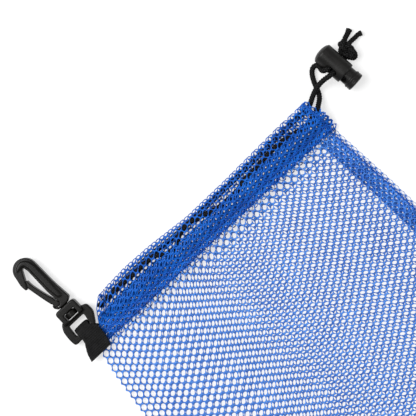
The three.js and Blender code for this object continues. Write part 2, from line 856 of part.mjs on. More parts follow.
function makeBarrel() {
  const r = barrelRadius;
  const bore = r - barrelWall;
  const roundedEdge = 0.5;
  const profile = [
    [0, barrelClosedEnd + barrelDome],
    [0.45 * r, barrelClosedEnd + 0.86 * barrelDome],
    [0.78 * r, barrelClosedEnd + 0.45 * barrelDome],
    [r - roundedEdge, barrelClosedEnd],
    [r, barrelClosedEnd - 2 * roundedEdge],
    [r, -barrelOpenEnd + roundedEdge],
    [r - roundedEdge, -barrelOpenEnd],
    [bore, -barrelOpenEnd],
    [bore, barrelClosedEnd - barrelEndWall],
    [0, barrelClosedEnd - barrelEndWall],
  ].map(([x, y]) => new THREE.Vector2(x, y));
  const barrel = toSolid(new THREE.LatheGeometry(profile.reverse(), 24));
  const hole = cordHole(3 * r, cordHoleWidth, -cordHoleLength / 2, cordHoleLength / 2);
  return toGeometry(barrel.subtract(toSolid(hole)));
}

function makePlunger() {
  const stem = barrelRadius - barrelWall - runningGap;
  const capTop = -barrelOpenEnd - plungerNeck;
  const capEnd = capTop - capLength;
  const roundedEdge = 0.6;
  const grooveDepth = 0.5;
  const profile = [
    [0, plungerInnerEnd],
    [stem, plungerInnerEnd],
    [stem, capTop],
    [capRadius, capTop],
    [capRadius, capTop - 0.38 * capLength],
    [capRadius - grooveDepth, capTop - 0.45 * capLength],
    [capRadius, capTop - 0.52 * capLength],
    [capRadius, capEnd + 0.3 * capLength],
    [capRadius - roundedEdge, capEnd + roundedEdge],
    [0.6 * capRadius, capEnd],
    [0, capEnd],
  ].map(([x, y]) => new THREE.Vector2(x, y));
  const plunger = toSolid(new THREE.LatheGeometry(profile.reverse(), 24));
  const slot = cordHole(4 * stem, cordHoleWidth, -plungerSlotEnd, cordHoleLength / 2);
  return toGeometry(plunger.subtract(toSolid(slot)));
}

// The bag and its cord
addPiece("mesh_pocket", makePocket(), netFinish);
addPiece("side_seam_allowance", makeSideAllowance(), netFinish);
addPiece("bottom_seam_allowance", makeBottomAllowance(), netFinish);
addPiece("mouth_casing", makeCasing(), netFinish);
addPiece("drawcord", makeHeldCord(), cordFinish);
addPiece("webbing_loop", makeWebbing(), webbingFinish);

// The swivel snap hook
const hook = new THREE.Group();
hook.position.set(hookAxisX, 0, hookAxisZ);
addPiece("swivel_base", makeSwivelBase(), plasticFinish, hook);
addPiece("hook_body", makeHookBody(), plasticFinish, hook);
addPiece("hook_gate", makeGate(), plasticFinish, hook);
bag.add(hook);

// The bag's own pieces set the zero point: the middle of their box, on the floor
bag.updateMatrixWorld(true);
const ownBox = new THREE.Box3().setFromObject(bag, true);
const middle = ownBox.getCenter(new THREE.Vector3());

// The free cord ends, the lock and the knot
addPiece("cord_end_back", cordTube(fromCorner(cordEndFromBack)), cordFinish);
addPiece("cord_end_front", cordTube(fromCorner(cordEndFromFront)), cordFinish);
addPiece("cord_knot", makeKnot(), cordFinish);
addPiece("cord_tail_upper", cordTube(fromCorner(cordTailUpper)), cordFinish);
addPiece("cord_tail_lower", cordTube(fromCorner(cordTailLower)), cordFinish);

const lock = new THREE.Group();
lock.position.set(mouthWidth + lockFromCorner.x, lockFromCorner.y, barrelRadius + floorGap);
lock.rotation.z = lockTurn;
addPiece("lock_barrel", makeBarrel(), plasticFinish, lock);
addPiece("lock_plunger", makePlunger(), plasticFinish, lock);
bag.add(lock);

bag.position.set(-middle.x, -middle.y, 0);

export default bag;
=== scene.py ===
import math

import bmesh
import bpy
import numpy as np
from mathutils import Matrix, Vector


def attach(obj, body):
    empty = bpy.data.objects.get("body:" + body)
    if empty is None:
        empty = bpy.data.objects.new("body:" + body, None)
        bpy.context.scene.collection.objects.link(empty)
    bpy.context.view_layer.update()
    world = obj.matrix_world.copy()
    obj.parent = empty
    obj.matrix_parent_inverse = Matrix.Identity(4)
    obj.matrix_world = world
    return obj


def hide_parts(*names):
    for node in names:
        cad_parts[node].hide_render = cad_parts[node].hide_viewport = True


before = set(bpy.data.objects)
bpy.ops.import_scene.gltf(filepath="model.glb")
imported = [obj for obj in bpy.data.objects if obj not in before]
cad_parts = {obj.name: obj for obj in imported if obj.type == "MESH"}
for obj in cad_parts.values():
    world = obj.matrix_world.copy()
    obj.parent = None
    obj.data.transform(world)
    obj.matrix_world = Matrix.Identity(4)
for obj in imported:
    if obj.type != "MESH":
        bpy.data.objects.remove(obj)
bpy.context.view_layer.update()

# Camera, floor and light
# The bag lies on a plain white table and is seen from straight above. Every place is given in
# millimetres from the left corner of the bag's mouth, +X to the lock's corner, +Y out of the mouth.
MM = 0.001
BAG_ORIGIN = np.array((-84.993, 125.217, 0.0))
VIEW_CENTRE, VIEW_TURN, CAMERA_HEIGHT = (96.7, -5.9), -43.1, 778.0
LENS, SENSOR = 100, 36
TABLE_HALF, TABLE_TONE, TABLE_GLOW, ROOM_LIGHT = 3.0, 0.33, 0.60, 0.42
LIT_PLACE = (0, 0.1, 0)
WHITE = (1, 1, 1, 1)


def in_row(points):
    """From the bag's millimetres to the row frame's metres."""
    return (np.asarray(points, float) + BAG_ORIGIN) * MM


def linked(name, data):
    piece = bpy.data.objects.new(name, data)
    bpy.context.scene.collection.objects.link(piece)
    return piece


def finish_of(name, colour, roughness, specular):
    """A new material, its node tree and its Principled node."""
    material = bpy.data.materials.new(name)
    material.use_nodes = True
    shader = material.node_tree.nodes["Principled BSDF"]
    shader.inputs["Base Color"].default_value = (*colour, 1)
    shader.inputs["Roughness"].default_value = roughness
    shader.inputs["Specular IOR Level"].default_value = specular
    return material, material.node_tree, shader


def soft_box(name, place, size, power):
    lamp = linked(name, bpy.data.lights.new(name, "AREA"))
    lamp.data.shape = "DISK"
    lamp.data.size = size
    lamp.data.energy = power
    lamp.location = place
    lamp.rotation_euler = (Vector(LIT_PLACE) - Vector(place)).to_track_quat("-Z", "Y").to_euler()


camera = linked("camera", bpy.data.cameras.new("camera"))
camera.data.lens = LENS
camera.data.sensor_width = SENSOR
camera.location = in_row((*VIEW_CENTRE, CAMERA_HEIGHT))
camera.rotation_euler = (0, 0, math.radians(VIEW_TURN))
bpy.context.scene.camera = camera
bpy.context.scene.view_settings.view_transform = "Standard"

floor_mesh = bpy.data.meshes.new("floor")
table_corners = [(x * TABLE_HALF, y * TABLE_HALF, 0) for x, y in ((-1, -1), (1, -1), (1, 1), (-1, 1))]
floor_mesh.from_pydata(table_corners, [], [range(4)])
floor = linked("floor", floor_mesh)
floor_paint, _, floor_shader = finish_of("white_table", (TABLE_TONE,) * 3, 0.9, 0.1)
floor_shader.inputs["Emission Color"].default_value = WHITE
floor_shader.inputs["Emission Strength"].default_value = TABLE_GLOW
floor_mesh.materials.append(floor_paint)

room = bpy.data.worlds.new("soft_white_room")
room.use_nodes = True
room.node_tree.nodes["Background"].inputs["Color"].default_value = WHITE
room.node_tree.nodes["Background"].inputs["Strength"].default_value = ROOM_LIGHT
bpy.context.scene.world = room
soft_box("key_light", (-0.55, 0.75, 1.35), 1.0, 32)
soft_box("fill_light", (0.9, -0.5, 1.5), 1.2, 9)

# The two free ends of the drawcord
# Black braided polyester cord, 3.6 mm thick. Both ends leave the casing's right corner, cross once and go
# through the lock's hole; they are one cord with the part in the casing, tied together behind the lock.
CORD_DIAMETER, CORD_SIDES = 3.6, 24
BRAID_STRANDS, BRAID_PITCH, BRAID_HEIGHT, BRAID_SINK = 6, 1.8, 0.34, 0.4
CORD_STEP = BRAID_PITCH / 4
CUT_DOME, FIRST_SIDE = 0.25, (0.13, 0.31, 0.94)
ROUTE_POWER, ROUTE_STEPS = 0.7, 12
RIGHT_CORNER = np.array((193.0, 0.0, 0.0))
END_FROM_BACK = [
    (-1.6, -3.0, 2.8), (1.2, -2.0, 2.8), (4.9, 0.2, 3.7), (11.3, 3.0, 6.4), (16.0, 3.7, 8.7),
    (20.0, 3.4, 10.8), (22.8, 2.9, 12.1), (24.8, 2.8, 12.2), (27.0, 3.05, 10.5), (37.1, 4.07, 3.1),
    (40.0, 4.9, 3.0),
]
END_FROM_FRONT = [
    (-1.6, -8.7, 9.0), (1.6, -7.9, 8.9), (4.6, -5.9, 7.0), (8.2, -3.6, 4.1), (10.5, -0.8, 2.4),
    (11.8, 2.6, 2.1), (13.3, 6.6, 2.1), (15.1, 10.3, 2.1), (17.2, 13.3, 2.1), (20.0, 15.0, 2.3),
    (22.6, 14.2, 3.5), (22.6, 11.6, 5.6), (21.6, 9.4, 8.4), (21.9, 8.0, 11.2), (23.8, 7.2, 13.1),
    (26.6, 7.05, 11.3), (36.7, 8.1, 3.3), (40.0, 8.3, 3.6),
]
SLACK_BACK, SLACK_FRONT = 12, 18


def unit(vectors):
    return vectors / np.linalg.norm(vectors, axis=-1, keepdims=True)


def steps_along(line):
    """The distance from a line's start to each of its points."""
    return np.concatenate([[0], np.cumsum(np.linalg.norm(np.diff(line, axis=0), axis=1))])


def even_line(line, step):
    run = steps_along(line)
    even = np.linspace(0, run[-1], max(2, round(run[-1] / step) + 1))
    return np.stack([np.interp(even, run, line[:, i]) for i in range(3)], axis=1)


def smooth_route(points, step, slack=0):
    """An even, smooth line through the points: Catmull-Rom, its knots set by distance so that it makes
    no cusp. Slack is how many times its bends are eased, as a cord eases them."""
    points = np.asarray(points, float)
    padded = np.vstack([2 * points[0] - points[1], points, 2 * points[-1] - points[-2]])
    t = np.linspace(0, 1, ROUTE_STEPS, endpoint=False)[:, None]
    pieces = []
    for a, b, c, d in zip(padded, padded[1:], padded[2:], padded[3:]):
        u, v, w = (np.linalg.norm(end - start) ** ROUTE_POWER for start, end in ((a, b), (b, c), (c, d)))
        leave = ((b - a) / u * v + (c - b) / v * u) / (u + v) * v
        arrive = ((c - b) / v * w + (d - c) / w * v) / (v + w) * v
        bend, close = 3 * (c - b) - 2 * leave - arrive, 2 * (b - c) + leave + arrive
        pieces.append(b + leave * t + bend * t**2 + close * t**3)
    line = even_line(np.vstack([*pieces, points[-1:]]), step)
    for _ in range(slack):
        line[1:-1] = 0.25 * line[:-2] + 0.5 * line[1:-1] + 0.25 * line[2:]
    return even_line(line, step)


def cord_route(points, slack=0):
    return smooth_route(np.array(points) + RIGHT_CORNER, CORD_STEP, slack)


def skin_faces(rings, sides):
    """The quads of a closed skin from ring to ring."""
    i, j = np.meshgrid(np.arange(rings - 1), np.arange(sides), indexing="ij")
    here, beside = i * sides + j, i * sides + (j + 1) % sides
    return np.stack([here, beside, beside + sides, here + sides], -1).reshape(-1, 4).tolist()


def mesh_of(name, verts, faces, uvs=None):
    """A smooth-shaded mesh in the row frame, from millimetres; uvs is one pair for each vertex."""
    mesh = bpy.data.meshes.new(name)
    mesh.from_pydata(in_row(verts).tolist(), [], [tuple(int(i) for i in face) for face in faces])
    if uvs is not None:
        layer = mesh.uv_layers.new(name="along_cord")
        corners = np.zeros(len(mesh.loops), np.int32)
        mesh.loops.foreach_get("vertex_index", corners)
        layer.data.foreach_set("uv", np.asarray(uvs, np.float32)[corners].ravel())
    mesh.shade_smooth()
    mesh.update()
    return mesh


def braided_tube(line, radius, flare=0.0):
    """Vertices, faces and uvs of a braided cord along an even line; flare opens its cut end."""
    ahead = unit(np.gradient(line, axis=0))
    side = np.cross(ahead[0], FIRST_SIDE)
    sides = []
    for direction in ahead:
        side = unit(side - direction * (side @ direction))
        sides.append(side)
    sides = np.array(sides)
    across = np.cross(ahead, sides)
    angle = np.linspace(0, 2 * math.pi, CORD_SIDES, endpoint=False)
    run = steps_along(line)
    braid = np.cos(BRAID_STRANDS * angle)[None, :] * np.cos(2 * math.pi * run / BRAID_PITCH)[:, None]
    open_end = flare * np.clip(1 - (run[-1] - run) / (2 * radius), 0, 1) ** 2
    size = radius - BRAID_SINK * BRAID_HEIGHT + BRAID_HEIGHT * braid + open_end[:, None]
    rings = (
        line[:, None]
        + sides[:, None] * (np.cos(angle)[None, :] * size)[..., None]
        + across[:, None] * (np.sin(angle)[None, :] * size)[..., None]
    )
    dome = CUT_DOME * radius
    verts = np.vstack([rings.reshape(-1, 3), line[:1] - dome * ahead[:1], line[-1:] + dome * ahead[-1:]])
    faces = skin_faces(len(line), CORD_SIDES)
    first, last = len(verts) - 2, len(verts) - 1
    end = first - CORD_SIDES
    for j in range(CORD_SIDES):
        k = (j + 1) % CORD_SIDES
        faces += [(first, k, j), (last, end + j, end + k)]
    u, v = np.meshgrid(angle / (2 * math.pi), run, indexing="xy")
    uvs = np.vstack([np.stack([u, v], -1).reshape(-1, 2), [(0, 0), (0, run[-1])]])
    return verts, faces, uvs


def node_of(tree, kind, **inputs):
    """A node of a tree, its inputs fed by sockets or set."""
    made = tree.nodes.new(kind)
    for name, value in inputs.items():
        socket = made.inputs[name.replace("_", " ")]
        if isinstance(value, bpy.types.NodeSocket):
            tree.links.new(value, socket)
        else:
            socket.default_value = value
    return made


def worked_out(tree, kind, operation, *values):
    """A maths node of a tree, with a socket, a number or nothing for each of its inputs."""
    made = tree.nodes.new(kind)
    made.operation = operation
    for socket, value in zip(made.inputs, values):
        if isinstance(value, bpy.types.NodeSocket):
            tree.links.new(value, socket)
        elif value is not None:
            socket.default_value = value
    return made.outputs[0]


def tinted(tree, shader, factor, dark, dark_at, light, light_at):
    """Base colour between two tones, for a factor between two values."""
    shade = node_of(tree, "ShaderNodeValToRGB", Fac=factor)
    first, last = shade.color_ramp.elements
    first.color, first.position = (*dark, 1), dark_at
    last.color, last.position = (*light, 1), light_at
    tree.links.new(shade.outputs["Color"], shader.inputs["Base Color"])


def embossed(tree, shader, height, strength, depth):
    """A surface pattern that catches the light and changes no shape."""
    bump = node_of(tree, "ShaderNodeBump", Height=height, Strength=strength, Distance=depth)
    tree.links.new(bump.outputs["Normal"], shader.inputs["Normal"])


def cord_finish():
    """Black polyester braid, its colour following the braid: a painted highlight where the strands lie on
    top, painted shade in the gaps.
    """
    material, tree, shader = finish_of("black_braid", (0.004, 0.004, 0.0042), 0.55, 0.1)
    uv = node_of(tree, "ShaderNodeUVMap")
    uv.uv_map = "along_cord"
    place = uv.outputs["UV"]
    split = node_of(tree, "ShaderNodeSeparateXYZ", Vector=place)

    def wave(distance, turns):
        angle = worked_out(tree, "ShaderNodeMath", "MULTIPLY", distance, 2 * math.pi * turns)
        return worked_out(tree, "ShaderNodeMath", "COSINE", angle)

    round_it, along_it = wave(split.outputs["X"], BRAID_STRANDS), wave(split.outputs["Y"], 1 / BRAID_PITCH)
    strands = worked_out(tree, "ShaderNodeMath", "MULTIPLY", round_it, along_it)
    # The braid's pattern sets the colour: a painted highlight on the strands' tops, painted shade in the gaps
    # between them.
    tinted(tree, shader, strands, (0.0007, 0.0007, 0.0008), 0.1, (0.019, 0.019, 0.0195), 0.95)
    spread = node_of(tree, "ShaderNodeMapping", Vector=place, Scale=(48, 5.5, 1), Rotation=(0, 0, 0.6))
    filaments = node_of(tree, "ShaderNodeTexNoise", Vector=spread.outputs["Vector"], Scale=3.0, Detail=3.0)
    embossed(tree, shader, filaments.outputs["Fac"], 0.7, 0.0002)
    return material


black_braid = cord_finish()


def cord_piece(name, tubes, node):
    """One piece from one or more braided tubes, standing for a CAD node on the bag."""
    verts, faces, uvs, start = [], [], [], 0
    for tube_verts, tube_faces, tube_uvs in tubes:
        verts.append(tube_verts)
        uvs.append(tube_uvs)
        faces += [tuple(i + start for i in face) for face in tube_faces]
        start += len(tube_verts)
    piece = linked(name, mesh_of(name, np.vstack(verts), faces, np.vstack(uvs)))
    piece.data.materials.append(black_braid)
    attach(piece, "bag")
    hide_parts(node)
    return piece


cord_radius = CORD_DIAMETER / 2
back_line, front_line = cord_route(END_FROM_BACK, SLACK_BACK), cord_route(END_FROM_FRONT, SLACK_FRONT)
cord_from_back = cord_piece("cord_from_back", [braided_tube(back_line, cord_radius)], "cord_end_back")
cord_from_front = cord_piece("cord_from_front", [braided_tube(front_line, cord_radius)], "cord_end_front")

# The knot and its two tails
# Both cord ends are tied together in one overhand knot that the lock can't slip over. The ends stick out
# of it as two short tails, cut hot, so that each opens a little at the cut.
KNOT_CENTRE = np.array((43.7, 7.5, 4.9)) + RIGHT_CORNER
KNOT_HALF, KNOT_DRAWN = np.array((3.3, 6.8, 2.9)), np.array((2.75, 2.9, 1.0))
KNOT_STRANDS = ((0.35, -0.35, 1.0), (1.25, 0.45, 0.86))
TAIL_UPPER = [(45.0, 11.2, 5.0), (46.6, 13.2, 4.8), (48.8, 14.5, 4.0), (51.0, 15.2, 3.0), (54.8, 16.8, 2.3)]
TAIL_LOWER = [
    (45.2, 9.2, 5.4), (47.4, 10.0, 5.2), (50.0, 10.2, 4.3), (53.8, 10.2, 2.8), (56.8, 10.3, 2.3),
    (59.2, 9.6, 2.2),
]


def knot_turn(lean, rise, grow):
    """One strand of the knot: a trefoil drawn tight, long in Y."""
    t = np.linspace(0, 2 * math.pi, 33)
    trefoil = [np.sin(t) + 2 * np.sin(2 * t), np.cos(t) - 2 * np.cos(2 * t), -np.sin(3 * t)]
    flat = np.stack(trefoil, axis=1) / KNOT_DRAWN
    turn = np.array([[math.cos(lean), -math.sin(lean), 0], [math.sin(lean), math.cos(lean), 0], [0, 0, 1]])
    return smooth_route((flat @ turn.T) * KNOT_HALF * grow + KNOT_CENTRE + (0, 0, rise), CORD_STEP)


knot_tubes = [braided_tube(knot_turn(*strand), 0.98 * cord_radius) for strand in KNOT_STRANDS]
upper_tube = braided_tube(cord_route(TAIL_UPPER), 1.02 * cord_radius, 0.5)
lower_tube = braided_tube(cord_route(TAIL_LOWER), 0.92 * cord_radius, 0.45)
knot = cord_piece("cord_knot_tied", knot_tubes, "cord_knot")
tail_upper = cord_piece("cord_tail_1", [upper_tube], "cord_tail_upper")
tail_lower = cord_piece("cord_tail_2", [lower_tube], "cord_tail_lower")

# The net pocket
# Knitted polyester net, one piece of cloth folded along the left edge and sewn at the right and the
# bottom. Each side is a sheet of hexagonal meshes, laid by Geometry Nodes along the pocket's own form.
BAG_LENGTH, BAG_WIDTH, MOUTH_WIDTH, CASING_DEPTH = 305.0, 240.0, 193.0, 24.5
CLOTH, SEAM_FLANGE, FOLD_REACH, EDGE_GAP, BAG_LOFT = 0.7, 4.0, 45.0, 1.5, 11.0
FLARE_DOWN = (0, 0.043, 0.095, 0.15, 0.25, 0.5, 1)
FLARE_LEFT = (0, 0.21, 0.48, 0.55, 0.626, 0.745, 0.74)
FLARE_RIGHT = (0, 0.045, 0.07, 0.1, 0.155, 0.25, 0.255)
MESH_ACROSS, MESH_DOWN = 7.15, 5.45
POCKET_COLUMNS, POCKET_ROWS = 32, 52
CELL_CORNER, CELL_POINT, THREAD_HALF = 0.75, 2.826, 0.3
POCKET_HOLE = (4.05, 4.3)
HEM_OVERLAP, JOIN_WITHIN, UNEVEN = 2.0, 0.05, 0.7
FRONT_AT_SEAM, BACK_LAYER = 1.25, 0.42
FOLD_RADIUS = 1.1
# Seen from above, the back layer's meshes drift against the front's: nearly in line at the hook's side,
# then half a mesh off along one row and, from the middle on, along the other row too.
DRIFT_AT = (0, 24, 50, 60, 86, 105, 135, 160, 195)
ALONG_ROW = (0.22, 0.3, 0.5, 0.5, 0.53, 0.7, 0.85, 0.8, 0.75)
ALONG_OTHER = (0.12, 0.12, 0.1, 0.14, 0.46, 0.5, 0.5, 0.55, 0.6)


def left_edge(y):
    return -(BAG_WIDTH - MOUTH_WIDTH) * np.interp(-y / BAG_LENGTH, FLARE_DOWN, FLARE_LEFT)


def right_edge(y):
    return MOUTH_WIDTH + (BAG_WIDTH - MOUTH_WIDTH) * np.interp(-y / BAG_LENGTH, FLARE_DOWN, FLARE_RIGHT)


def smoothstep(value, low, high):
    share = np.clip((value - low) / (high - low), 0, 1)
    return share * share * (3 - 2 * share)


def mix(a, b, share):
    return a + (b - a) * share


def pocket_top(x, y):
    """Height of the front layer's middle: lofted in the middle, flat at the fold and in the seams."""
    y_in = np.maximum(y, -BAG_LENGTH)
    loft = BAG_LOFT - 2 * CLOTH - EDGE_GAP
    loft = loft * smoothstep(x - left_edge(y_in), 0, FOLD_REACH)
    loft = loft * smoothstep(right_edge(y_in) - x, 0, FOLD_REACH)
    lofted = 1.5 * CLOTH + EDGE_GAP + loft * smoothstep(y + BAG_LENGTH, 0, FOLD_REACH)
    pressed = smoothstep(right_edge(y_in) - x, SEAM_FLANGE - 0.5, SEAM_FLANGE + 2)
    pressed *= smoothstep(y + BAG_LENGTH, SEAM_FLANGE - 0.5, SEAM_FLANGE + 2)
    return mix(FRONT_AT_SEAM, lofted, pressed)


def plain_object(name, verts, faces):
    """A small smooth-shaded object for Geometry Nodes to repeat, from millimetres about its own middle."""
    mesh = bpy.data.meshes.new(name)
    mesh.from_pydata([tuple(MM * c for c in v) for v in verts], [], faces)
    mesh.shade_smooth()
    return linked(name, mesh)


def cell_object(name, hole_size):
    """One mesh of the net: half of each thread round a hexagonal hole with round corners."""
    x, y, point = CELL_CORNER, MESH_DOWN / 2, CELL_POINT
    hexagon = [(point, 0), (x, y), (-x, y), (-point, 0), (-x, -y), (x, -y)]
    border = []
    for (ax, ay), (bx, by) in zip(hexagon, hexagon[1:] + hexagon[:1]):
        border += [(ax, ay), ((ax + bx) / 2, (ay + by) / 2)]
    hole_x, hole_y = hole_size[0] / 2, hole_size[1] / 2
    hole = []
    for x, y in border:
        turn = math.atan2(y / hole_y, x / hole_x)
        reach = 1 + 0.02 * math.cos(6 * turn)
        hole.append((hole_x * math.cos(turn) * reach, hole_y * math.sin(turn) * reach))
    rings = ((border, THREAD_HALF), (hole, 0), (border, -THREAD_HALF))
    verts = [(x, y, z) for ring, z in rings for x, y in ring]
    count = len(border)
    faces = []
    for i in range(count):
        k = (i + 1) % count
        faces.append((count + i, i, k, count + k))
        faces.append((count + i, count + k, 2 * count + k, 2 * count + i))
    return plain_object(name, verts, faces)


def new_tree(name, inputs, output):
    """An empty Geometry Nodes tree with named inputs, what it is given and where its result goes."""
    tree = bpy.data.node_groups.new(name, "GeometryNodeTree")
    for title, kind in inputs.items():
        tree.interface.new_socket(title, in_out="INPUT", socket_type="NodeSocket" + kind)
    tree.interface.new_socket(output, in_out="OUTPUT", socket_type="NodeSocketGeometry")
    return tree, tree.nodes.new("NodeGroupInput").outputs, tree.nodes.new("NodeGroupOutput").inputs[output]


def painted_result(tree, copies, paint, result):
    """Sets the material and hands the geometry to the tree's output."""
    painted = node_of(tree, "GeometryNodeSetMaterial", Geometry=copies, Material=paint)
    tree.links.new(painted.outputs["Geometry"], result)


def net_tree():
    """Lays the cell on two staggered grids and bends the flat net along a sheet."""
    tree, given, result = new_tree("net_on_sheet", {
        "Cell": "Object", "Sheet": "Object", "Columns": "Int", "Rows": "Int", "Mesh Across": "Float",
        "Mesh Down": "Float", "First Cell": "Vector", "Unevenness": "Float", "Yarn": "Material",
    }, "Net")

    def number(operation, a, b):
        return worked_out(tree, "ShaderNodeMath", operation, a, b)

    def vector(operation, *values):
        return worked_out(tree, "ShaderNodeVectorMath", operation, *values)

    def halved(x, y):
        half_x, half_y = number("MULTIPLY", x, 0.5), number("MULTIPLY", y, 0.5)
        return node_of(tree, "ShaderNodeCombineXYZ", X=half_x, Y=half_y).outputs[0]

    across, down = given["Mesh Across"], given["Mesh Down"]
    size_x = number("MULTIPLY", number("SUBTRACT", given["Columns"], 1), across)
    size_y = number("MULTIPLY", number("SUBTRACT", given["Rows"], 1), down)
    start = vector("ADD", halved(size_x, size_y), given["First Cell"])
    joined = tree.nodes.new("GeometryNodeJoinGeometry")
    for offset in (start, vector("ADD", start, halved(across, down))):
        grid = node_of(
            tree, "GeometryNodeMeshGrid", Size_X=size_x, Size_Y=size_y,
            Vertices_X=given["Columns"], Vertices_Y=given["Rows"],
        )
        moved = node_of(tree, "GeometryNodeTransform", Geometry=grid.outputs["Mesh"], Translation=offset)
        tree.links.new(moved.outputs["Geometry"], joined.inputs["Geometry"])
    cell = node_of(tree, "GeometryNodeObjectInfo", Object=given["Cell"]).outputs["Geometry"]
    copies = node_of(tree, "GeometryNodeInstanceOnPoints", Points=joined.outputs["Geometry"], Instance=cell)
    real = node_of(tree, "GeometryNodeRealizeInstances", Geometry=copies.outputs["Instances"])
    merged = node_of(tree, "GeometryNodeMergeByDistance", Distance=MM * JOIN_WITHIN)
    tree.links.new(real.outputs["Geometry"], merged.inputs["Geometry"])

    place = tree.nodes.new("GeometryNodeInputPosition").outputs[0]
    noise = node_of(tree, "ShaderNodeTexNoise", Vector=place, Scale=130, Detail=1).outputs["Color"]
    uneven = vector("SCALE", vector("SUBTRACT", noise, (0.5, 0.5, 0.5)), None, None, given["Unevenness"])
    on_flat = vector("ADD", place, uneven)
    sheet = node_of(tree, "GeometryNodeObjectInfo", Object=given["Sheet"]).outputs["Geometry"]

    def attribute(name):
        made = node_of(tree, "GeometryNodeInputNamedAttribute", Name=name)
        made.data_type = "FLOAT_VECTOR"
        return made.outputs["Attribute"]

    def on_sheet(value):
        made = tree.nodes.new("GeometryNodeSampleUVSurface")
        made.data_type = "FLOAT_VECTOR"
        fed = (("Mesh", sheet), ("Value", value), ("UV Map", attribute("sheet_uv")), ("Sample UV", on_flat))
        for name, socket in fed:
            tree.links.new(socket, made.inputs[name])
        return made.outputs["Value"]

    height = node_of(tree, "ShaderNodeSeparateXYZ", Vector=place).outputs["Z"]
    lift = vector("SCALE", on_sheet(attribute("outward")), None, None, height)
    lifted = vector("ADD", on_sheet(place), lift)
    bent = node_of(tree, "GeometryNodeSetPosition", Geometry=merged.outputs["Geometry"], Position=lifted)
    painted_result(tree, bent.outputs["Geometry"], given["Yarn"], result)
    return tree


def evaluated(piece, name):
    """The piece with its modifiers made real, as a new plain object."""
    bpy.context.view_layer.update()
    graph = bpy.context.evaluated_depsgraph_get()
    mesh = bpy.data.meshes.new_from_object(piece.evaluated_get(graph), depsgraph=graph)
    mesh.name = name
    bpy.data.objects.remove(piece)
    return linked(name, mesh)


def grown(name, tree, inputs):
    """A plain mesh that a tree makes from the given inputs, riding on the bag."""
    holder = linked(name, bpy.data.meshes.new(name))
    modifier = holder.modifiers.new(tree.name, "NODES")
    modifier.node_group = tree
    for item in tree.interface.items_tree:
        if item.in_out == "INPUT":
            modifier[item.identifier] = inputs[item.name]
    piece = evaluated(holder, name)
    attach(piece, "bag")
    return piece


def sheet_object(across, down, place):
    """The sheet that a flat net is bent along: place gives the point for each distance across and down."""
    a, d = np.meshgrid(across, down, indexing="xy")
    step = 0.05
    normal = np.cross(place(a + step, d) - place(a - step, d), place(a, d + step) - place(a, d - step))
    normal /= np.maximum(np.linalg.norm(normal, axis=-1, keepdims=True), 1e-9)
    rows, columns = a.shape
    i, j = np.meshgrid(np.arange(rows - 1), np.arange(columns - 1), indexing="ij")
    corner = i * columns + j
    faces = np.stack([corner, corner + 1, corner + columns + 1, corner + columns], -1).reshape(-1, 4)
    mesh = bpy.data.meshes.new("net_sheet")
    mesh.from_pydata(in_row(place(a, d).reshape(-1, 3)).tolist(), [], faces.tolist())
    uv = np.stack([a, d], -1).reshape(-1, 2) / 1000.0
    corners = np.zeros(len(mesh.loops), np.int32)
    mesh.loops.foreach_get("vertex_index", corners)
    mesh.uv_layers.new(name="sheet_uv").data.foreach_set("uv", uv[corners].astype(np.float32).ravel())
    outward = mesh.attributes.new("outward", "FLOAT_VECTOR", "POINT")
    outward.data.foreach_set("vector", normal.reshape(-1).astype(np.float32))
    return linked("net_sheet", mesh)


def distances(start, end, step, fine_at=None):
    """Distances along a sheet, closer together round a fold."""
    values = np.arange(start, end + step, step)
    if fine_at is not None:
        near = np.arange(fine_at - 6, fine_at + 6, 0.25)
        values = np.unique(np.round(np.concatenate([values[abs(values - fine_at) > 6], near]), 4))
    return values


net_on_sheet = net_tree()


def net_piece(name, sheet, cell, columns, rows, first, yarn, unevenness, node=None):
    """A net bent along a sheet, as a plain mesh on the bag. First is the place of its first cell."""
    piece = grown(name, net_on_sheet, {
        "Cell": cell, "Sheet": sheet, "Columns": columns, "Rows": rows,
        "Mesh Across": MM * MESH_ACROSS, "Mesh Down": MM * MESH_DOWN,
        "First Cell": (MM * first[0], MM * first[1], 0), "Unevenness": MM * unevenness, "Yarn": yarn,
    })
    bpy.data.objects.remove(sheet)
    if node:
        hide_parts(node)
    return piece


def yarn_finish(name, deep, light, sheen=0.25, specular=0.35):
    """Blue polyester yarn: filaments twisted along each thread, with a painted highlight where they stand up,
    and an uneven tone in large patches.
    """
    material, tree, shader = finish_of(name, light, 0.5, specular)
    shader.inputs["Sheen Weight"].default_value = sheen
    shader.inputs["Sheen Roughness"].default_value = 0.35
    shader.inputs["Sheen Tint"].default_value = (0.55, 0.72, 1.0, 1)
    place = node_of(tree, "ShaderNodeTexCoord").outputs["Object"]
    patches = node_of(tree, "ShaderNodeTexNoise", Vector=place, Scale=55.0, Detail=2.0).outputs["Fac"]
    filaments = node_of(tree, "ShaderNodeTexNoise", Vector=place, Scale=2600.0, Detail=2.0).outputs["Fac"]
    both = node_of(tree, "ShaderNodeMix", Factor=0.55, A=patches, B=filaments)
    # The colour follows the same fine noise as the bump, so the raised filaments get a painted highlight. The
    # large patches are the yarn's own uneven tone.
    tinted(tree, shader, both.outputs["Result"], deep, 0.36, light, 0.66)
    embossed(tree, shader, filaments, 0.6, 0.00012)
    return material


blue_yarn = yarn_finish("blue_yarn", (0.020, 0.110, 0.45), (0.060, 0.23, 0.67))
pocket_cell = cell_object("pocket_cell", POCKET_HOLE)
pocket_span = POCKET_COLUMNS * MESH_ACROSS


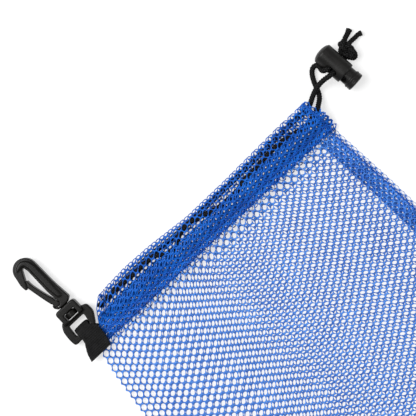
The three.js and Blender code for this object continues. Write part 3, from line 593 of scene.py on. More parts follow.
def around_fold(share, y):
    """x and z across the bag from the right edge (share 0) to the middle of the left fold (share 1)."""
    y_in = np.maximum(y, -BAG_LENGTH)
    left, right = left_edge(y_in), right_edge(y_in)
    arc = 0.5 * math.pi * FOLD_RADIUS / (right - left)
    straight = np.minimum(share / (1 - arc), 1.0)
    turn = 0.5 * math.pi * np.maximum((share - 1 + arc) / arc, 0)
    turning = left + FOLD_RADIUS
    x = mix(right, turning, straight) - FOLD_RADIUS * np.sin(turn)
    high = pocket_top(turning, y)
    middle = 0.5 * (high + BACK_LAYER)
    flat = pocket_top(np.where(turn > 0, turning, x), y)
    return x, np.where(turn > 0, middle + (high - middle) * np.cos(turn), flat)


def front_place(a, d):
    y = -CASING_DEPTH - d
    x, z = around_fold(a / pocket_span, y)
    return np.stack([x, y, z], -1)


def back_place(a, d):
    """The back layer, drawn in at the right edge and drifting against the front one as the camera sees it."""
    y = -CASING_DEPTH - d
    inside = 2 * pocket_span - a
    share = np.where(inside < MESH_ACROSS / 2, (inside + MESH_ACROSS / 2) / 2, inside) / pocket_span
    x, z = around_fold(share, y)
    fold_middle = 0.5 * (pocket_top(left_edge(y) + FOLD_RADIUS, y) + BACK_LAYER)
    lower = np.where(share < 0.96, BACK_LAYER, np.minimum(2 * fold_middle - z, fold_middle))
    row, other = (np.interp(x, DRIFT_AT, table) for table in (ALONG_ROW, ALONG_OTHER))
    lens_shift = (pocket_top(x, y) - BACK_LAYER) / CAMERA_HEIGHT
    shift_x = (row - other) * MESH_ACROSS / 2 + (x - VIEW_CENTRE[0]) * lens_shift
    shift_y = -(row + other) * MESH_DOWN / 2 + (y - VIEW_CENTRE[1]) * lens_shift
    fade = smoothstep(x - left_edge(y), 2, 26) * smoothstep(right_edge(y) - x, 4, 16)
    fade = fade * smoothstep(y + BAG_LENGTH, 4, 20) * smoothstep(-CASING_DEPTH - y, 0, 10)
    return np.stack([x + shift_x * fade, y + shift_y * fade, np.maximum(lower, BACK_LAYER)], -1)


pocket_down = distances(-8, BAG_LENGTH - CASING_DEPTH + 8, 3.0)
for name, start, spare_before, spare_after, place in (
    ("net_front", 0, 6, 3, front_place),
    ("net_back", pocket_span, 3, 6, back_place),
):
    across = distances(start - spare_before, start + pocket_span + spare_after, 2.5, pocket_span)
    first = (start + MESH_ACROSS / 2, MESH_DOWN / 2 - HEM_OVERLAP)
    sheet = sheet_object(across, pocket_down, place)
    net_piece(name, sheet, pocket_cell, POCKET_COLUMNS, POCKET_ROWS, first, blue_yarn, UNEVEN, "mesh_pocket")

# The casing round the mouth
# The pocket's net is turned in round the mouth and sewn down 24.5 mm below, so the casing is a flat sleeve
# of two layers in front and two behind. The turned hem below the cord is doubled once more.
MOUTH_AT = (0, 0.15, 0.265, 0.425, 0.605, 0.76, 0.87, 1)
MOUTH_OUT = (0.055, 0.12, 0.09, -0.025, -0.012, 0.03, 0.06, 0.057)
CASING_THICK, HEM_THICK, MOUTH_GAP, CASING_EDGE_GAP = 5.6, 1.6, 5.0, 0.6
TAPER_AT, TAPER = (0, 0.3, 0.6, 1), (1, 0.45, 0.1, 0)
FOLD_SHARE, CASING_AROUND = 0.028, 416.0
FACE_RUN, EDGE_RADIUS, CORD_SHOULDER = CASING_DEPTH + 1.4, 0.5, 5.5
SLEEVE_RUN = 2 * FACE_RUN + math.pi * EDGE_RADIUS
CASING_COLUMNS, CASING_ROWS = round(CASING_AROUND / MESH_ACROSS), 10
CASING_FIRST_ROW = SLEEVE_RUN / 2 - 4.5 * MESH_DOWN
CASING_HOLE, HEM_HOLE = (4.0, 4.25), (3.0, 3.2)
END_DEPTH, END_PACK, END_INSET, END_SINK = 6.0, 2.0, 0.6, (0, 0, 0.3)
HEM_DEPTH, HEM_PACK, HEM_ROWS = 15.0, 1.6, 8
END_UNEVEN, HEM_UNEVEN = 1.6, 1.2


def mouth_edge(x):
    return CASING_DEPTH * np.interp(x / MOUTH_WIDTH, MOUTH_AT, MOUTH_OUT)


def fullness(share, along):
    """How full the casing is with cord: 1 at the mouth, 0 at the hem, less of it close to the folded edge."""
    away = smoothstep(share, 0, 0.12)
    room_left = mix(0.34, 0.58, away)
    behind = np.clip((along - room_left) / (1 - room_left) * (1 + 1.2 * (1 - away)), 0, 1)
    return np.interp(behind, TAPER_AT, TAPER)


def sleeve_thickness(share, along):
    return mix(HEM_THICK, CASING_THICK, fullness(share, along))


def sleeve_place(share, along):
    low_left, low_right = left_edge(-CASING_DEPTH), right_edge(-CASING_DEPTH)
    across = MOUTH_WIDTH * share
    x = mix(across, mix(low_left, low_right, share), along)
    return x, mix(mouth_edge(across), -CASING_DEPTH, along)


def front_top(share, along):
    x, _ = sleeve_place(share, along)
    start, end = sleeve_place(0.0 * share, along)[0], sleeve_place(0.0 * share + 1, along)[0]
    hem_height, mouth_height = BAG_LOFT - 2 * HEM_THICK - CASING_EDGE_GAP, MOUTH_GAP - CASING_EDGE_GAP
    lofted = smoothstep(x - start, 0, FOLD_REACH) * smoothstep(end - x, 0, FOLD_REACH)
    open_height = mix(hem_height, mouth_height, fullness(share, along))
    return 2 * sleeve_thickness(share, along) + CASING_EDGE_GAP + open_height * lofted


edge_drop = CASING_DEPTH + mouth_edge(0)
edge_slant = math.hypot(left_edge(-CASING_DEPTH), edge_drop) / edge_drop


def sleeve_point(around, along, inward):
    """A point of the sleeve. Around is -1 at the front's right, 0 at the folded edge, 1 at the back's."""
    around, along, inward = np.broadcast_arrays(around, along, inward)
    share = np.abs(around)
    turn = 0.5 * math.pi * (1 + np.clip(around / FOLD_SHARE, -1, 1))
    flat_share = np.clip((share - FOLD_SHARE) / (1 - FOLD_SHARE), 0, None)
    x, y = sleeve_place(flat_share, along)
    thick = sleeve_thickness(flat_share, along)
    edge_thick = sleeve_thickness(0.0 * along, along)
    outer = edge_thick + CASING_EDGE_GAP / 2
    radius = outer - inward * edge_thick
    fold_x = sleeve_place(0.0 * share, along)[0] + edge_slant * (outer - radius * np.sin(turn))
    fold_z = outer + radius * np.cos(turn)
    beside_fold = (flat_share < 0.05) * edge_slant * outer * (1 - flat_share / 0.05)
    x = np.where(share < FOLD_SHARE, fold_x, x + beside_fold)
    flat_z = np.where(around < 0, front_top(flat_share, along) - inward * thick, inward * thick)
    return np.stack([x, y, np.where(share < FOLD_SHARE, fold_z, flat_z)], -1)


def casing_place(a, d):
    """Across: from the front's right end round the fold to the back's. Down: over the outer face, round the
    mouth's edge and down the inner face, both to the stitch line. The sleeve is thin at the mouth's edge."""
    around = -1 + 2 * a / CASING_AROUND
    inner = d > SLEEVE_RUN / 2
    run = np.where(inner, SLEEVE_RUN - d, d)
    turn = np.clip((run - FACE_RUN) / EDGE_RADIUS, 0, math.pi / 2)
    from_mouth = np.where(turn > 0, -0.5 * EDGE_RADIUS * np.sin(turn), FACE_RUN - run)
    share = np.clip((np.abs(around) - FOLD_SHARE) / (1 - FOLD_SHARE), 0, None)
    thick = sleeve_thickness(share, np.clip(from_mouth / FACE_RUN, 0, 1))
    shoulder = smoothstep(from_mouth, 0.3, CORD_SHOULDER)
    half = mix(EDGE_RADIUS, thick / 2 - CLOTH / 2, shoulder) * np.cos(turn)
    inward = 0.5 + np.where(inner, half, -half) / thick
    return sleeve_point(around, np.clip(from_mouth / FACE_RUN, -0.02, 1.2), inward)


def front_end_place(a, d):
    return casing_place(END_INSET + a / END_PACK, d) - END_SINK


def back_end_place(a, d):
    return casing_place(CASING_AROUND - END_INSET - a / END_PACK, d) + END_SINK


def hem_place(a, d):
    """The net turned under once more inside the hem: up just below the outer face and down again, packed."""
    around = -1 + 2 * a / CASING_AROUND
    top = HEM_DEPTH * HEM_PACK
    up = np.where(d > top, 2 * top - d, d) / HEM_PACK
    lift = np.clip((d - top + 1) / 2, 0, 1)
    return sleeve_point(around, 1 - np.clip(up, -4, HEM_DEPTH + 4) / CASING_DEPTH, mix(0.16, 0.4, lift))


# The same yarn as the pocket's, made darker and deeper blue: painted shade for the stacked layers of the
# casing and its hem.
casing_yarn = yarn_finish("blue_yarn_doubled", (0.0010, 0.050, 0.30), (0.0040, 0.122, 0.53), 0.05, 0.2)
casing_cell, hem_cell = cell_object("casing_cell", CASING_HOLE), cell_object("hem_cell", HEM_HOLE)
casing_across = distances(-6, CASING_AROUND + 6, 2.0, CASING_AROUND / 2)
casing_down = distances(-6, SLEEVE_RUN + 6, 0.6)
casing_sheet = sheet_object(casing_across, casing_down, casing_place)
net_piece(
    "casing_net", casing_sheet, casing_cell, CASING_COLUMNS, CASING_ROWS,
    (2.2, CASING_FIRST_ROW), casing_yarn, UNEVEN, "mouth_casing",
)
for name, place in (("casing_end_front", front_end_place), ("casing_end_back", back_end_place)):
    sheet = sheet_object(distances(-3, END_DEPTH * END_PACK + 3, 1), casing_down, place)
    net_piece(name, sheet, casing_cell, 2, CASING_ROWS, (1.2, CASING_FIRST_ROW), casing_yarn, END_UNEVEN)
hem_sheet = sheet_object(casing_across, distances(-4, 2 * HEM_DEPTH * HEM_PACK + 4, 0.7), hem_place)
net_piece("hem_net", hem_sheet, hem_cell, CASING_COLUMNS, HEM_ROWS, (0.4, 1.6), casing_yarn, HEM_UNEVEN)

# Seam allowances inside the pocket
# The bag is sewn inside out and turned, so 12 mm of both layers lie inside along the right edge and the
# bottom. They are packed together and show through the front as a denser band.
ALLOWANCE, ALLOWANCE_PACK, SIDE_PACK, SIDE_STITCH = 12.0, 1.8, 1.12, 4.0
BOTTOM_COLUMNS, SIDE_SHEET = 31, 366
BOTTOM_SPAN = BOTTOM_COLUMNS * MESH_ACROSS
ALLOWANCE_TURN = 2 * ALLOWANCE * ALLOWANCE_PACK
LOWER_LAYER, UPPER_LAYER, SEAM_UNEVEN = 1.05, 1.7, 0.5


def allowance_run(distance):
    """How far in from the stitches, and at what height: up one layer and back on the other."""
    back = distance > ALLOWANCE_TURN / 2
    inside = np.where(back, ALLOWANCE_TURN - distance, distance) / ALLOWANCE_PACK
    return inside, np.where(back, UPPER_LAYER, LOWER_LAYER) + 0.12 * np.sin(distance)


def side_allowance_place(a, d):
    y = -CASING_DEPTH - d / SIDE_PACK
    inside, z = allowance_run(a)
    return np.stack([right_edge(np.maximum(y, -BAG_LENGTH)) - SIDE_STITCH + 0.6 - inside, y, z], -1)


def bottom_allowance_place(a, d):
    inside, z = allowance_run(d)
    start, end = right_edge(-BAG_LENGTH) - SEAM_FLANGE - ALLOWANCE - 1, left_edge(-BAG_LENGTH) + 3
    return np.stack([mix(start, end, a / BOTTOM_SPAN), -BAG_LENGTH + SEAM_FLANGE + 0.4 + inside, z], -1)


# The same yarn as the pocket's, made a little darker: painted shade for the allowances lying under the front
# layer.
seam_yarn = yarn_finish("blue_yarn_seam", (0.010, 0.085, 0.42), (0.036, 0.19, 0.66), 0.1, 0.25)
first_seam_cell = (CELL_POINT, MESH_DOWN / 2)
side_rows = int((BAG_LENGTH - CASING_DEPTH - SEAM_FLANGE) * SIDE_PACK / MESH_DOWN) - 1
allowance_width = distances(-4, ALLOWANCE_TURN + 4, 0.8)
side_sheet = sheet_object(allowance_width, distances(-4, SIDE_SHEET + 4, 4), side_allowance_place)
net_piece(
    "side_seam_net", side_sheet, hem_cell, int(ALLOWANCE_TURN / MESH_ACROSS), side_rows,
    first_seam_cell, seam_yarn, SEAM_UNEVEN, "side_seam_allowance",
)
bottom_sheet = sheet_object(distances(-4, BOTTOM_SPAN + 4, 4), allowance_width, bottom_allowance_place)
net_piece(
    "bottom_seam_net", bottom_sheet, hem_cell, BOTTOM_COLUMNS, int(ALLOWANCE_TURN / MESH_DOWN),
    first_seam_cell, seam_yarn, SEAM_UNEVEN, "bottom_seam_allowance",
)
for cell in (pocket_cell, casing_cell, hem_cell):
    bpy.data.objects.remove(cell)

# The drawcord in the casing
# The same black cord, lying slack inside the casing: along the front in low waves, round the folded edge
# and back along the rear. It shows through the net as a row of black meshes.
CORD_IN_FRONT = [
    (190.6, -9.0), (183.7, -11), (174.8, -9.6), (165.9, -7.6), (147.9, -7.2), (140.5, -8.1), (126.1, -9),
    (116.8, -11.2), (109, -10.9), (101.9, -10.4), (90.8, -7.2), (80.6, -4.6), (70.7, -5.9), (63.4, -10.2),
    (56.5, -9.5), (49, -4.9), (42, -4.2), (35, -4.2), (29, -4.1), (23.5, -3.8), (18, -3.5),
    (13.5, -3.5), (9.6, -3.6),
]
CORD_IN_BACK = [
    (12, -3), (28, -2.4), (46, -2.6), (66.5, -4.2), (84, -4.4), (98.5, -4.4), (120, -4.2), (141, -3.8),
    (162.6, -3.2), (180, -2.8), (190.6, -3.3),
]
CORD_TURN_Y, CORD_BACK_Z = -3.9, 2.8


def mouth_share(x, y):
    """The share across the sleeve and along it of a place in the mouth."""
    edge = mouth_edge(x)
    along = (edge - y) / (edge + CASING_DEPTH)
    left = along * left_edge(-CASING_DEPTH)
    return (x - left) / (mix(MOUTH_WIDTH, right_edge(-CASING_DEPTH), along) - left), along


def held_route():
    points = []
    for x, y in CORD_IN_FRONT:
        share, along = mouth_share(x, y)
        points.append((x, y, float(front_top(share, along) - 0.5 * sleeve_thickness(share, along))))
    _, along = mouth_share(0.0, CORD_TURN_Y)
    x, y = sleeve_place(0.0, along)
    thick = sleeve_thickness(0.0, along)
    outer, radius = thick + CASING_EDGE_GAP / 2, 0.5 * thick + CASING_EDGE_GAP / 2
    for turn in np.linspace(0, math.pi, 7):
        fold_x = float(x + edge_slant * (outer - radius * math.sin(turn)))
        points.append((fold_x, float(y), float(outer + radius * math.cos(turn))))
    return points + [(x, y, CORD_BACK_Z) for x, y in CORD_IN_BACK]


held_line = smooth_route(held_route(), CORD_STEP)
cord_piece("drawcord_in_casing", [braided_tube(held_line, cord_radius)], "drawcord")

# Stitches
# Lockstitch in dark blue thread: two rows round the casing's hem, one along each seam. Each stitch is a
# short bead of thread pulled into the net, set along the seam's line by Geometry Nodes.
STITCH_LENGTH, STITCH_WIDTH, STITCH_PITCH = 2.7, 0.95, 2.7
STITCH_SIDES, STITCH_RINGS = 6, ((-0.38, 0.75), (0, 1.0), (0.38, 0.75))
HEM_ROWS_AT, SEWN_REACH, ON_FACE = (0.97, 0.80), 0.985, 0.12
SEAM_FACES = (1.9, 0.25)


def stitch_object():
    """A bead along X, flatter below, closed by a point at each end."""
    length, width, sides = STITCH_LENGTH, STITCH_WIDTH, STITCH_SIDES
    verts = []
    for along, size in STITCH_RINGS:
        for k in range(sides):
            angle = 2 * math.pi * k / sides
            across, up = 0.5 * width * size * math.cos(angle), 0.4 * width * size * math.sin(angle)
            verts.append((along * length, across, up))
    verts += [(-0.5 * length, 0, -0.3 * width), (0.5 * length, 0, -0.3 * width)]
    first, last = len(verts) - 2, len(verts) - 1
    last_ring = first - sides
    faces = []
    for ring in range(len(STITCH_RINGS) - 1):
        for k in range(sides):
            here, beside = ring * sides + k, ring * sides + (k + 1) % sides
            faces.append((here, here + sides, beside + sides, beside))
    for k in range(sides):
        n = (k + 1) % sides
        faces += [(first, k, n), (last, last_ring + n, last_ring + k)]
    return plain_object("stitch", verts, faces)


def stitch_tree():
    tree, given, result = new_tree("stitches_on_line", {
        "Line": "Object", "Stitch": "Object", "Pitch": "Float", "Thread": "Material",
    }, "Stitches")
    line = node_of(tree, "GeometryNodeObjectInfo", Object=given["Line"]).outputs["Geometry"]
    stitch = node_of(tree, "GeometryNodeObjectInfo", Object=given["Stitch"]).outputs["Geometry"]
    points = tree.nodes.new("GeometryNodeCurveToPoints")
    points.mode = "LENGTH"
    tree.links.new(line, points.inputs["Curve"])
    tree.links.new(given["Pitch"], points.inputs["Length"])
    along = node_of(tree, "FunctionNodeAlignRotationToVector", Vector=points.outputs["Tangent"])
    along.axis = "X"
    copies = node_of(
        tree, "GeometryNodeInstanceOnPoints",
        Points=points.outputs["Points"], Instance=stitch, Rotation=along.outputs["Rotation"],
    )
    real = node_of(tree, "GeometryNodeRealizeInstances", Geometry=copies.outputs["Instances"])
    painted_result(tree, real.outputs["Geometry"], given["Thread"], result)
    return tree


stitches_on_line = stitch_tree()
seam_thread = yarn_finish("seam_thread", (0.001, 0.030, 0.22), (0.003, 0.075, 0.42), 0.05, 0.2)
seam_stitch = stitch_object()


def stitched(name, lines):
    """Stitches along lines; none lies lower than the table allows."""
    curve = bpy.data.curves.new("stitch_line", "CURVE")
    curve.dimensions = "3D"
    for line in lines:
        line = np.stack([line[:, 0], line[:, 1], np.maximum(line[:, 2], 0.5 * STITCH_WIDTH)], -1)
        spline = curve.splines.new("POLY")
        spline.points.add(len(line) - 1)
        for point, place in zip(spline.points, in_row(line)):
            point.co = (*place, 1)
    path = linked("stitch_line", curve)
    piece = grown(name, stitches_on_line, {
        "Line": path, "Stitch": seam_stitch, "Pitch": MM * STITCH_PITCH, "Thread": seam_thread,
    })
    bpy.data.objects.remove(path)
    return piece


hem_around, end_along = np.linspace(-SEWN_REACH, SEWN_REACH, 160), np.linspace(0.02, 1, 12)
hem_lines = [sleeve_point(hem_around, along, -ON_FACE) for along in HEM_ROWS_AT]
seam_y = np.linspace(-CASING_DEPTH - 1, -BAG_LENGTH + SEAM_FLANGE, 120)
bottom_x = np.linspace(right_edge(-BAG_LENGTH) - SEAM_FLANGE, left_edge(-BAG_LENGTH) + 1, 100)
bottom_y = 0 * bottom_x - BAG_LENGTH + SEAM_FLANGE
seam_lines = [np.stack([right_edge(seam_y) - SIDE_STITCH, seam_y, 0 * seam_y + z], -1) for z in SEAM_FACES]
seam_lines += [np.stack([bottom_x, bottom_y, 0 * bottom_x + z], -1) for z in SEAM_FACES]
for around in (-SEWN_REACH, SEWN_REACH):
    seam_lines += [sleeve_point(around, end_along, inward) for inward in (-ON_FACE, 1 + ON_FACE)]
stitched("hem_stitches", hem_lines)
stitched("seam_stitches", seam_lines)
bpy.data.objects.remove(seam_stitch)

# The webbing loop
# Black ribbed ribbon, 1.3 mm thick, passed through the swivel's ring and folded. Both ends are sewn through
# on the casing's left corner, so it spreads there; its ribs run across it.
HOOK_X, HOOK_Z = -18.3, 4.8
WEBBING = 1.3
WEB_DOWN = (4.2, 8, 12, 15.8, 20.6, 25, 28)
WEB_MIDDLE = (-0.6, -1, 1.1, 0.7, -1, -2.3, -3.4)
WEB_WIDTH = (11, 10.8, 14.2, 14.6, 17, 17.6, 17)
RIB_PITCH, RIB_HEIGHT = 1.4, 0.17
WEB_STEP, WEB_ACROSS = 0.28, 16
AROUND_BAR, BAR_MIDDLE = 2.2 + 0.3 + WEBBING / 2, 7.4 + WEBBING / 2
SEWN_BACK, SEWN_FRONT, SEWN_FROM = 6.15, 7.75, 16.0


def facing_out(mesh):
    made = bmesh.new()
    made.from_mesh(mesh)
    bmesh.ops.recalc_face_normals(made, faces=made.faces)
    made.to_mesh(mesh)
    made.free()
    return mesh


def webbing_route():
    """From its end on the casing's back, round the ring's bar, to its end on the front."""
    end, low, high = WEB_DOWN[-1], HOOK_Z - AROUND_BAR, HOOK_Z + AROUND_BAR
    half_way = (end + SEWN_FROM) / 2
    path = [(end, SEWN_BACK - 0.4), (half_way, SEWN_BACK), (SEWN_FROM + 0.6, SEWN_BACK)]
    path += [(15.2, mix(low, SEWN_BACK, 0.6)), (13.2, low + 0.1), (BAR_MIDDLE, low)]
    for turn in np.linspace(0, math.pi, 7)[1:-1]:
        path.append((BAR_MIDDLE - AROUND_BAR * math.sin(turn), HOOK_Z - AROUND_BAR * math.cos(turn)))
    path += [(BAR_MIDDLE, high), (13.2, high), (SEWN_FROM + 0.6, high - 0.1)]
    path += [(half_way, SEWN_FRONT), (end, SEWN_FRONT - 0.4)]
    return smooth_route([(0, -down, z) for down, z in path], WEB_STEP)


def webbing_mesh():
    line = webbing_route()
    up = np.cross((1.0, 0, 0), unit(np.gradient(line, axis=0)))
    down = -line[:, 1]
    middle, width = np.interp(down, WEB_DOWN, WEB_MIDDLE), np.interp(down, WEB_DOWN, WEB_WIDTH)
    left, right = HOOK_X + middle - width / 2, HOOK_X + middle + width / 2
    beside_bag = (line[:, 2] < SEWN_BACK - 0.5) & (down > BAR_MIDDLE)
    right = np.where(beside_bag, np.minimum(right, left_edge(-down) - 0.9), right)
    run = np.arange(len(line)) * WEB_STEP
    ribs = RIB_HEIGHT * np.cos(2 * math.pi * run / RIB_PITCH)
    frayed = 0.11 * np.sin(1.7 * run) * np.sin(0.61 * run + 1)
    share = np.linspace(0, 1, WEB_ACROSS)
    crown = 1 - np.abs(2 * share - 1) ** 6
    rings = []
    for i in range(len(line)):
        middle_line = np.zeros((WEB_ACROSS, 3)) + line[i]
        middle_line[:, 0] += mix(left[i] - frayed[i], right[i] + frayed[i], share)
        sag = 0.22 * np.sin(3.1 * share + 0.11 * run[i]) * crown
        half = (WEBBING / 2 - 0.12) * (0.45 + 0.55 * crown) + ribs[i] * (0.3 + 0.7 * crown)
        upper = middle_line + up[i] * (half + sag)[:, None]
        lower = middle_line - up[i] * (half - sag)[:, None]
        rings.append(np.vstack([upper, lower[::-1]]))
    count, sides = len(rings), 2 * WEB_ACROSS
    faces = skin_faces(count, sides) + [range(sides - 1, -1, -1), range((count - 1) * sides, count * sides)]
    return facing_out(mesh_of("webbing", np.vstack(rings), faces))


def webbing_finish():
    """Black ribbon: matt weft ribs, finer warp threads between them, worn a little grey."""
    material, tree, shader = finish_of("black_webbing", (0.005, 0.005, 0.005), 0.66, 0.15)
    place = node_of(tree, "ShaderNodeTexCoord").outputs["Object"]
    threads = node_of(tree, "ShaderNodeTexWave", Vector=place, Scale=1600.0, Distortion=1.2, Detail=1.0)
    threads.bands_direction = "X"
    dust = node_of(tree, "ShaderNodeTexNoise", Vector=place, Scale=260.0, Detail=4.0)
    tinted(tree, shader, dust.outputs["Fac"], (0.0025,) * 3, 0.3, (0.0085, 0.0085, 0.0087), 0.75)
    embossed(tree, shader, threads.outputs["Fac"], 0.5, 0.00015)
    return material


webbing = linked("webbing", webbing_mesh())
webbing.data.materials.append(webbing_finish())
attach(webbing, "bag")
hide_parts("webbing_loop")

# The swivel base
# Moulded black nylon: a collar that holds the hook's post, with a window where its head shows, and a flat
# ring below it for the webbing. One moulding, so its edges are all a little round.
BLADE, FRAME_THICK, COLLAR_THICK, COLLAR_HALF = 7.0, 4.4, 9.6, 8.1
COLLAR_LOW, COLLAR_HIGH, WINDOW, WINDOW_HALF, POST_HOLE = 2.4, 12.2, 4.9, 4.7, 2.8
CUT, VOXEL, EASED = 8, 0.34, 5
RING_OUTSIDE = [
    (-COLLAR_HALF + 1, 5.2, 0), (-10.1, 3.4, 1.5), (-12.3, -0.7, 2), (-12.9, -7.2, 1.5), (-12.4, -12.8, 2),
    (-8.8, -12.9, 1.2), (7.4, -11.4, 2.4), (12.6, -3.2, 2.4), (12.2, 3.2, 1.8), (COLLAR_HALF - 1, 5.2, 0),
]
RING_INSIDE = [(-7, -0.6, 0.8), (-7.6, -8.8, 1), (4.8, -8.1, 1), (6.2, -0.6, 0.8)]


def rounded(corners, steps=6):
    """An outline from rows of x, y and corner radius."""
    points = []
    for i, (x, y, radius) in enumerate(corners):
        here = np.array((x, y))
        if not radius:
            points.append(here)
            continue
        before, after = np.array(corners[i - 1][:2]), np.array(corners[(i + 1) % len(corners)][:2])
        start, end = here + unit(before - here) * radius, here + unit(after - here) * radius
        for t in np.linspace(0, 1, steps):
            points.append((1 - t) ** 2 * start + 2 * t * (1 - t) * here + t * t * end)
    return points


def plate(outlines, thickness, edge):
    """A flat moulding round the hook's axis: an outline with holes, its edges rounded."""
    curve = bpy.data.curves.new("outline", "CURVE")
    curve.dimensions = "2D"
    curve.fill_mode = "BOTH"
    for outline in outlines:
        spline = curve.splines.new("POLY")
        spline.points.add(len(outline) - 1)
        spline.use_cyclic_u = True
        for point, (x, y) in zip(spline.points, outline):
            point.co = (x, y, 0, 1)
    curve.extrude = thickness / 2 - edge
    curve.bevel_depth = edge
    curve.bevel_resolution = 2
    curve.offset = -edge
    return evaluated(linked("plate", curve), "plate")


def solid_box(low, high):
    made = bmesh.new()
    bmesh.ops.create_cube(made, size=1)
    for vert in made.verts:
        vert.co = [mix(low[i], high[i], vert.co[i] + 0.5) for i in range(3)]
    mesh = bpy.data.meshes.new("block")
    made.to_mesh(mesh)
    made.free()
    return linked("block", mesh)


def turned(profile, sides=64):
    """A turned solid round the local Y axis from rows of radius and y, first and last on the axis."""
    angle = np.linspace(0, 2 * math.pi, sides, endpoint=False)
    verts = [(0, profile[0][1], 0)]
    for radius, y in profile[1:-1]:
        verts += [(radius * math.cos(a), y, radius * math.sin(a)) for a in angle]
    verts.append((0, profile[-1][1], 0))
    last = len(verts) - 1
    faces = []
    for k in range(sides):
        n = (k + 1) % sides
        faces.append((0, 1 + k, 1 + n))
        for ring in range(len(profile) - 3):
            low = 1 + ring * sides
            faces.append((low + k, low + sides + k, low + sides + n, low + n))
        faces.append((last, last - sides + n, last - sides + k))
    mesh = bpy.data.meshes.new("turned")
    mesh.from_pydata(verts, [], faces)
    return linked("turned", facing_out(mesh))


def pin(radius, low, high, sides=64):
    return turned([(0, low), (radius, low), (radius, high), (0, high)], sides)


def combined(piece, tool, operation):
    """The two solids joined, or the tool cut out of the piece."""
    modifier = piece.modifiers.new("cut", "BOOLEAN")
    modifier.operation = operation
    modifier.solver = "EXACT"
    modifier.object = tool
    made = evaluated(piece, piece.name)
    bpy.data.objects.remove(tool)
    return made


def moulded(piece, name, voxel, rounds, origin, finish, body, node, turn=0.0):
    """Gives a local solid a moulding's small edge radius, moves it to its place and hands it to its body."""
    remesh = piece.modifiers.new("remesh", "REMESH")
    remesh.mode = "VOXEL"
    remesh.voxel_size = voxel
    smooth = piece.modifiers.new("smooth", "SMOOTH")
    smooth.factor = 0.5
    smooth.iterations = rounds
    piece = evaluated(piece, name)
    mesh = piece.data
    verts = np.zeros(len(mesh.vertices) * 3)
    mesh.vertices.foreach_get("co", verts)
    x, y, z = verts.reshape(-1, 3).T
    c, s = math.cos(turn), math.sin(turn)
    verts = np.stack([x * c - y * s, x * s + y * c, z], -1)
    mesh.vertices.foreach_set("co", in_row(verts + np.array(origin)).ravel())
    mesh.materials.clear()
    mesh.materials.append(finish)
    mesh.shade_smooth()
    mesh.update()
    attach(piece, body)
    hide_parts(node)
    return piece


def plastic_finish(name, colour, roughness, specular):
    """Moulded black plastic: a fine spark-eroded grain, and faint flow marks that are duller or glossier."""
    material, tree, shader = finish_of(name, colour, roughness, specular)
    place = node_of(tree, "ShaderNodeTexCoord").outputs["Object"]
    grain = node_of(tree, "ShaderNodeTexNoise", Vector=place, Scale=2400.0, Detail=2.0).outputs["Fac"]
    flow = node_of(tree, "ShaderNodeTexNoise", Vector=place, Scale=95.0, Detail=3.0).outputs["Fac"]
    gloss = node_of(tree, "ShaderNodeMapRange", Value=flow, To_Min=roughness - 0.07, To_Max=roughness + 0.1)
    tree.links.new(gloss.outputs["Result"], shader.inputs["Roughness"])
    tinted(tree, shader, flow, [0.75 * c for c in colour], 0.3, [1.45 * c for c in colour], 0.75)
    embossed(tree, shader, grain, 0.25, 0.00008)
    return material


hook_plastic = plastic_finish("hook_nylon", (0.0036, 0.0034, 0.0030), 0.34, 0.12)
HOOK_ORIGIN = (HOOK_X, 0, HOOK_Z)
window_top = COLLAR_LOW + WINDOW
collar_corners = [
    (-COLLAR_HALF, COLLAR_LOW - 1, 0.6), (COLLAR_HALF, COLLAR_LOW - 1, 0.6),
    (COLLAR_HALF, COLLAR_HIGH, 2.6), (-COLLAR_HALF, COLLAR_HIGH, 2.6),
]
collar = plate([rounded(collar_corners)], COLLAR_THICK, 0.9)
ring = plate([rounded(RING_OUTSIDE), rounded(RING_INSIDE)], FRAME_THICK, 0.5)
window = solid_box((-WINDOW_HALF, COLLAR_LOW, -CUT), (WINDOW_HALF, window_top, CUT))
swivel_base = combined(combined(collar, ring, "UNION"), window, "DIFFERENCE")
swivel_base = combined(swivel_base, pin(POST_HOLE, window_top - 1, COLLAR_HIGH + 1), "DIFFERENCE")
moulded(
    swivel_base, "swivel_moulding", VOXEL, EASED, HOOK_ORIGIN, hook_plastic,
    "bag", "swivel_base",
)

# The hook
# The same nylon: a flat hook with a round post below it, whose head is snapped into the swivel's window, so
# that the hook turns without end. Its nose has a notch for the tip of the gate.
POST_RADIUS, HEAD_RADIUS, HEAD_LENGTH, SOCKET_RADIUS = 2.5, 4.4, 4.1, 2.6
SPINE_PROUD = 1.1
GATE_PIVOT = (-2.7, 16.7)
BOW_MIDDLE, BOW_HALF = (-2.5, 47.1), (8.2, 8.4)
SPINE = [
    (1.4, 19.0, 1.2), (4.4, 18.2, 1.2), (4.6, 28, 4), (4.5, 45, 3), (3.2, 50.2, 2.2), (-0.6, 53.2, 2),
    (-5.0, 52.6, 2), (-7.6, 49.6, 1), (-4.6, 49.8, 1), (-1.0, 50.2, 1.5), (0.1, 46, 2), (0.2, 28, 3),
]
foot, head_top = COLLAR_HIGH + 0.3, window_top - 0.3
head_low = head_top - HEAD_LENGTH
bow = []
for angle in np.linspace(0.04, math.pi - 0.04, 21):
    bow_x, bow_y = BOW_HALF[0] * math.cos(angle), BOW_HALF[1] * math.sin(angle)
    bow.append((BOW_MIDDLE[0] + bow_x, BOW_MIDDLE[1] + bow_y, 0))
hook_outline = [
    (-3.9, foot, 0.6), (4.2, foot, 0.8), (7.5, 14.6, 1.2), (6.1, 28, 4), (5.9, 40.0, 4), *bow,
    (-11.9, 41.3, 1.8), (-11.4, 36.5, 0.8), (-9.7, 37, 0.5), (-6.8, 42.6, 1), (-3.9, 48.6, 0.8),
    (-2.4, 49.2, 0.6), (-1.5, 45.8, 1), (-1.5, 26, 3), (-0.7, 19.4, 1), (-0.4, 17.2, 0.6), (-5.6, 17.2, 0),
    (-5.9, 15, 1),
]


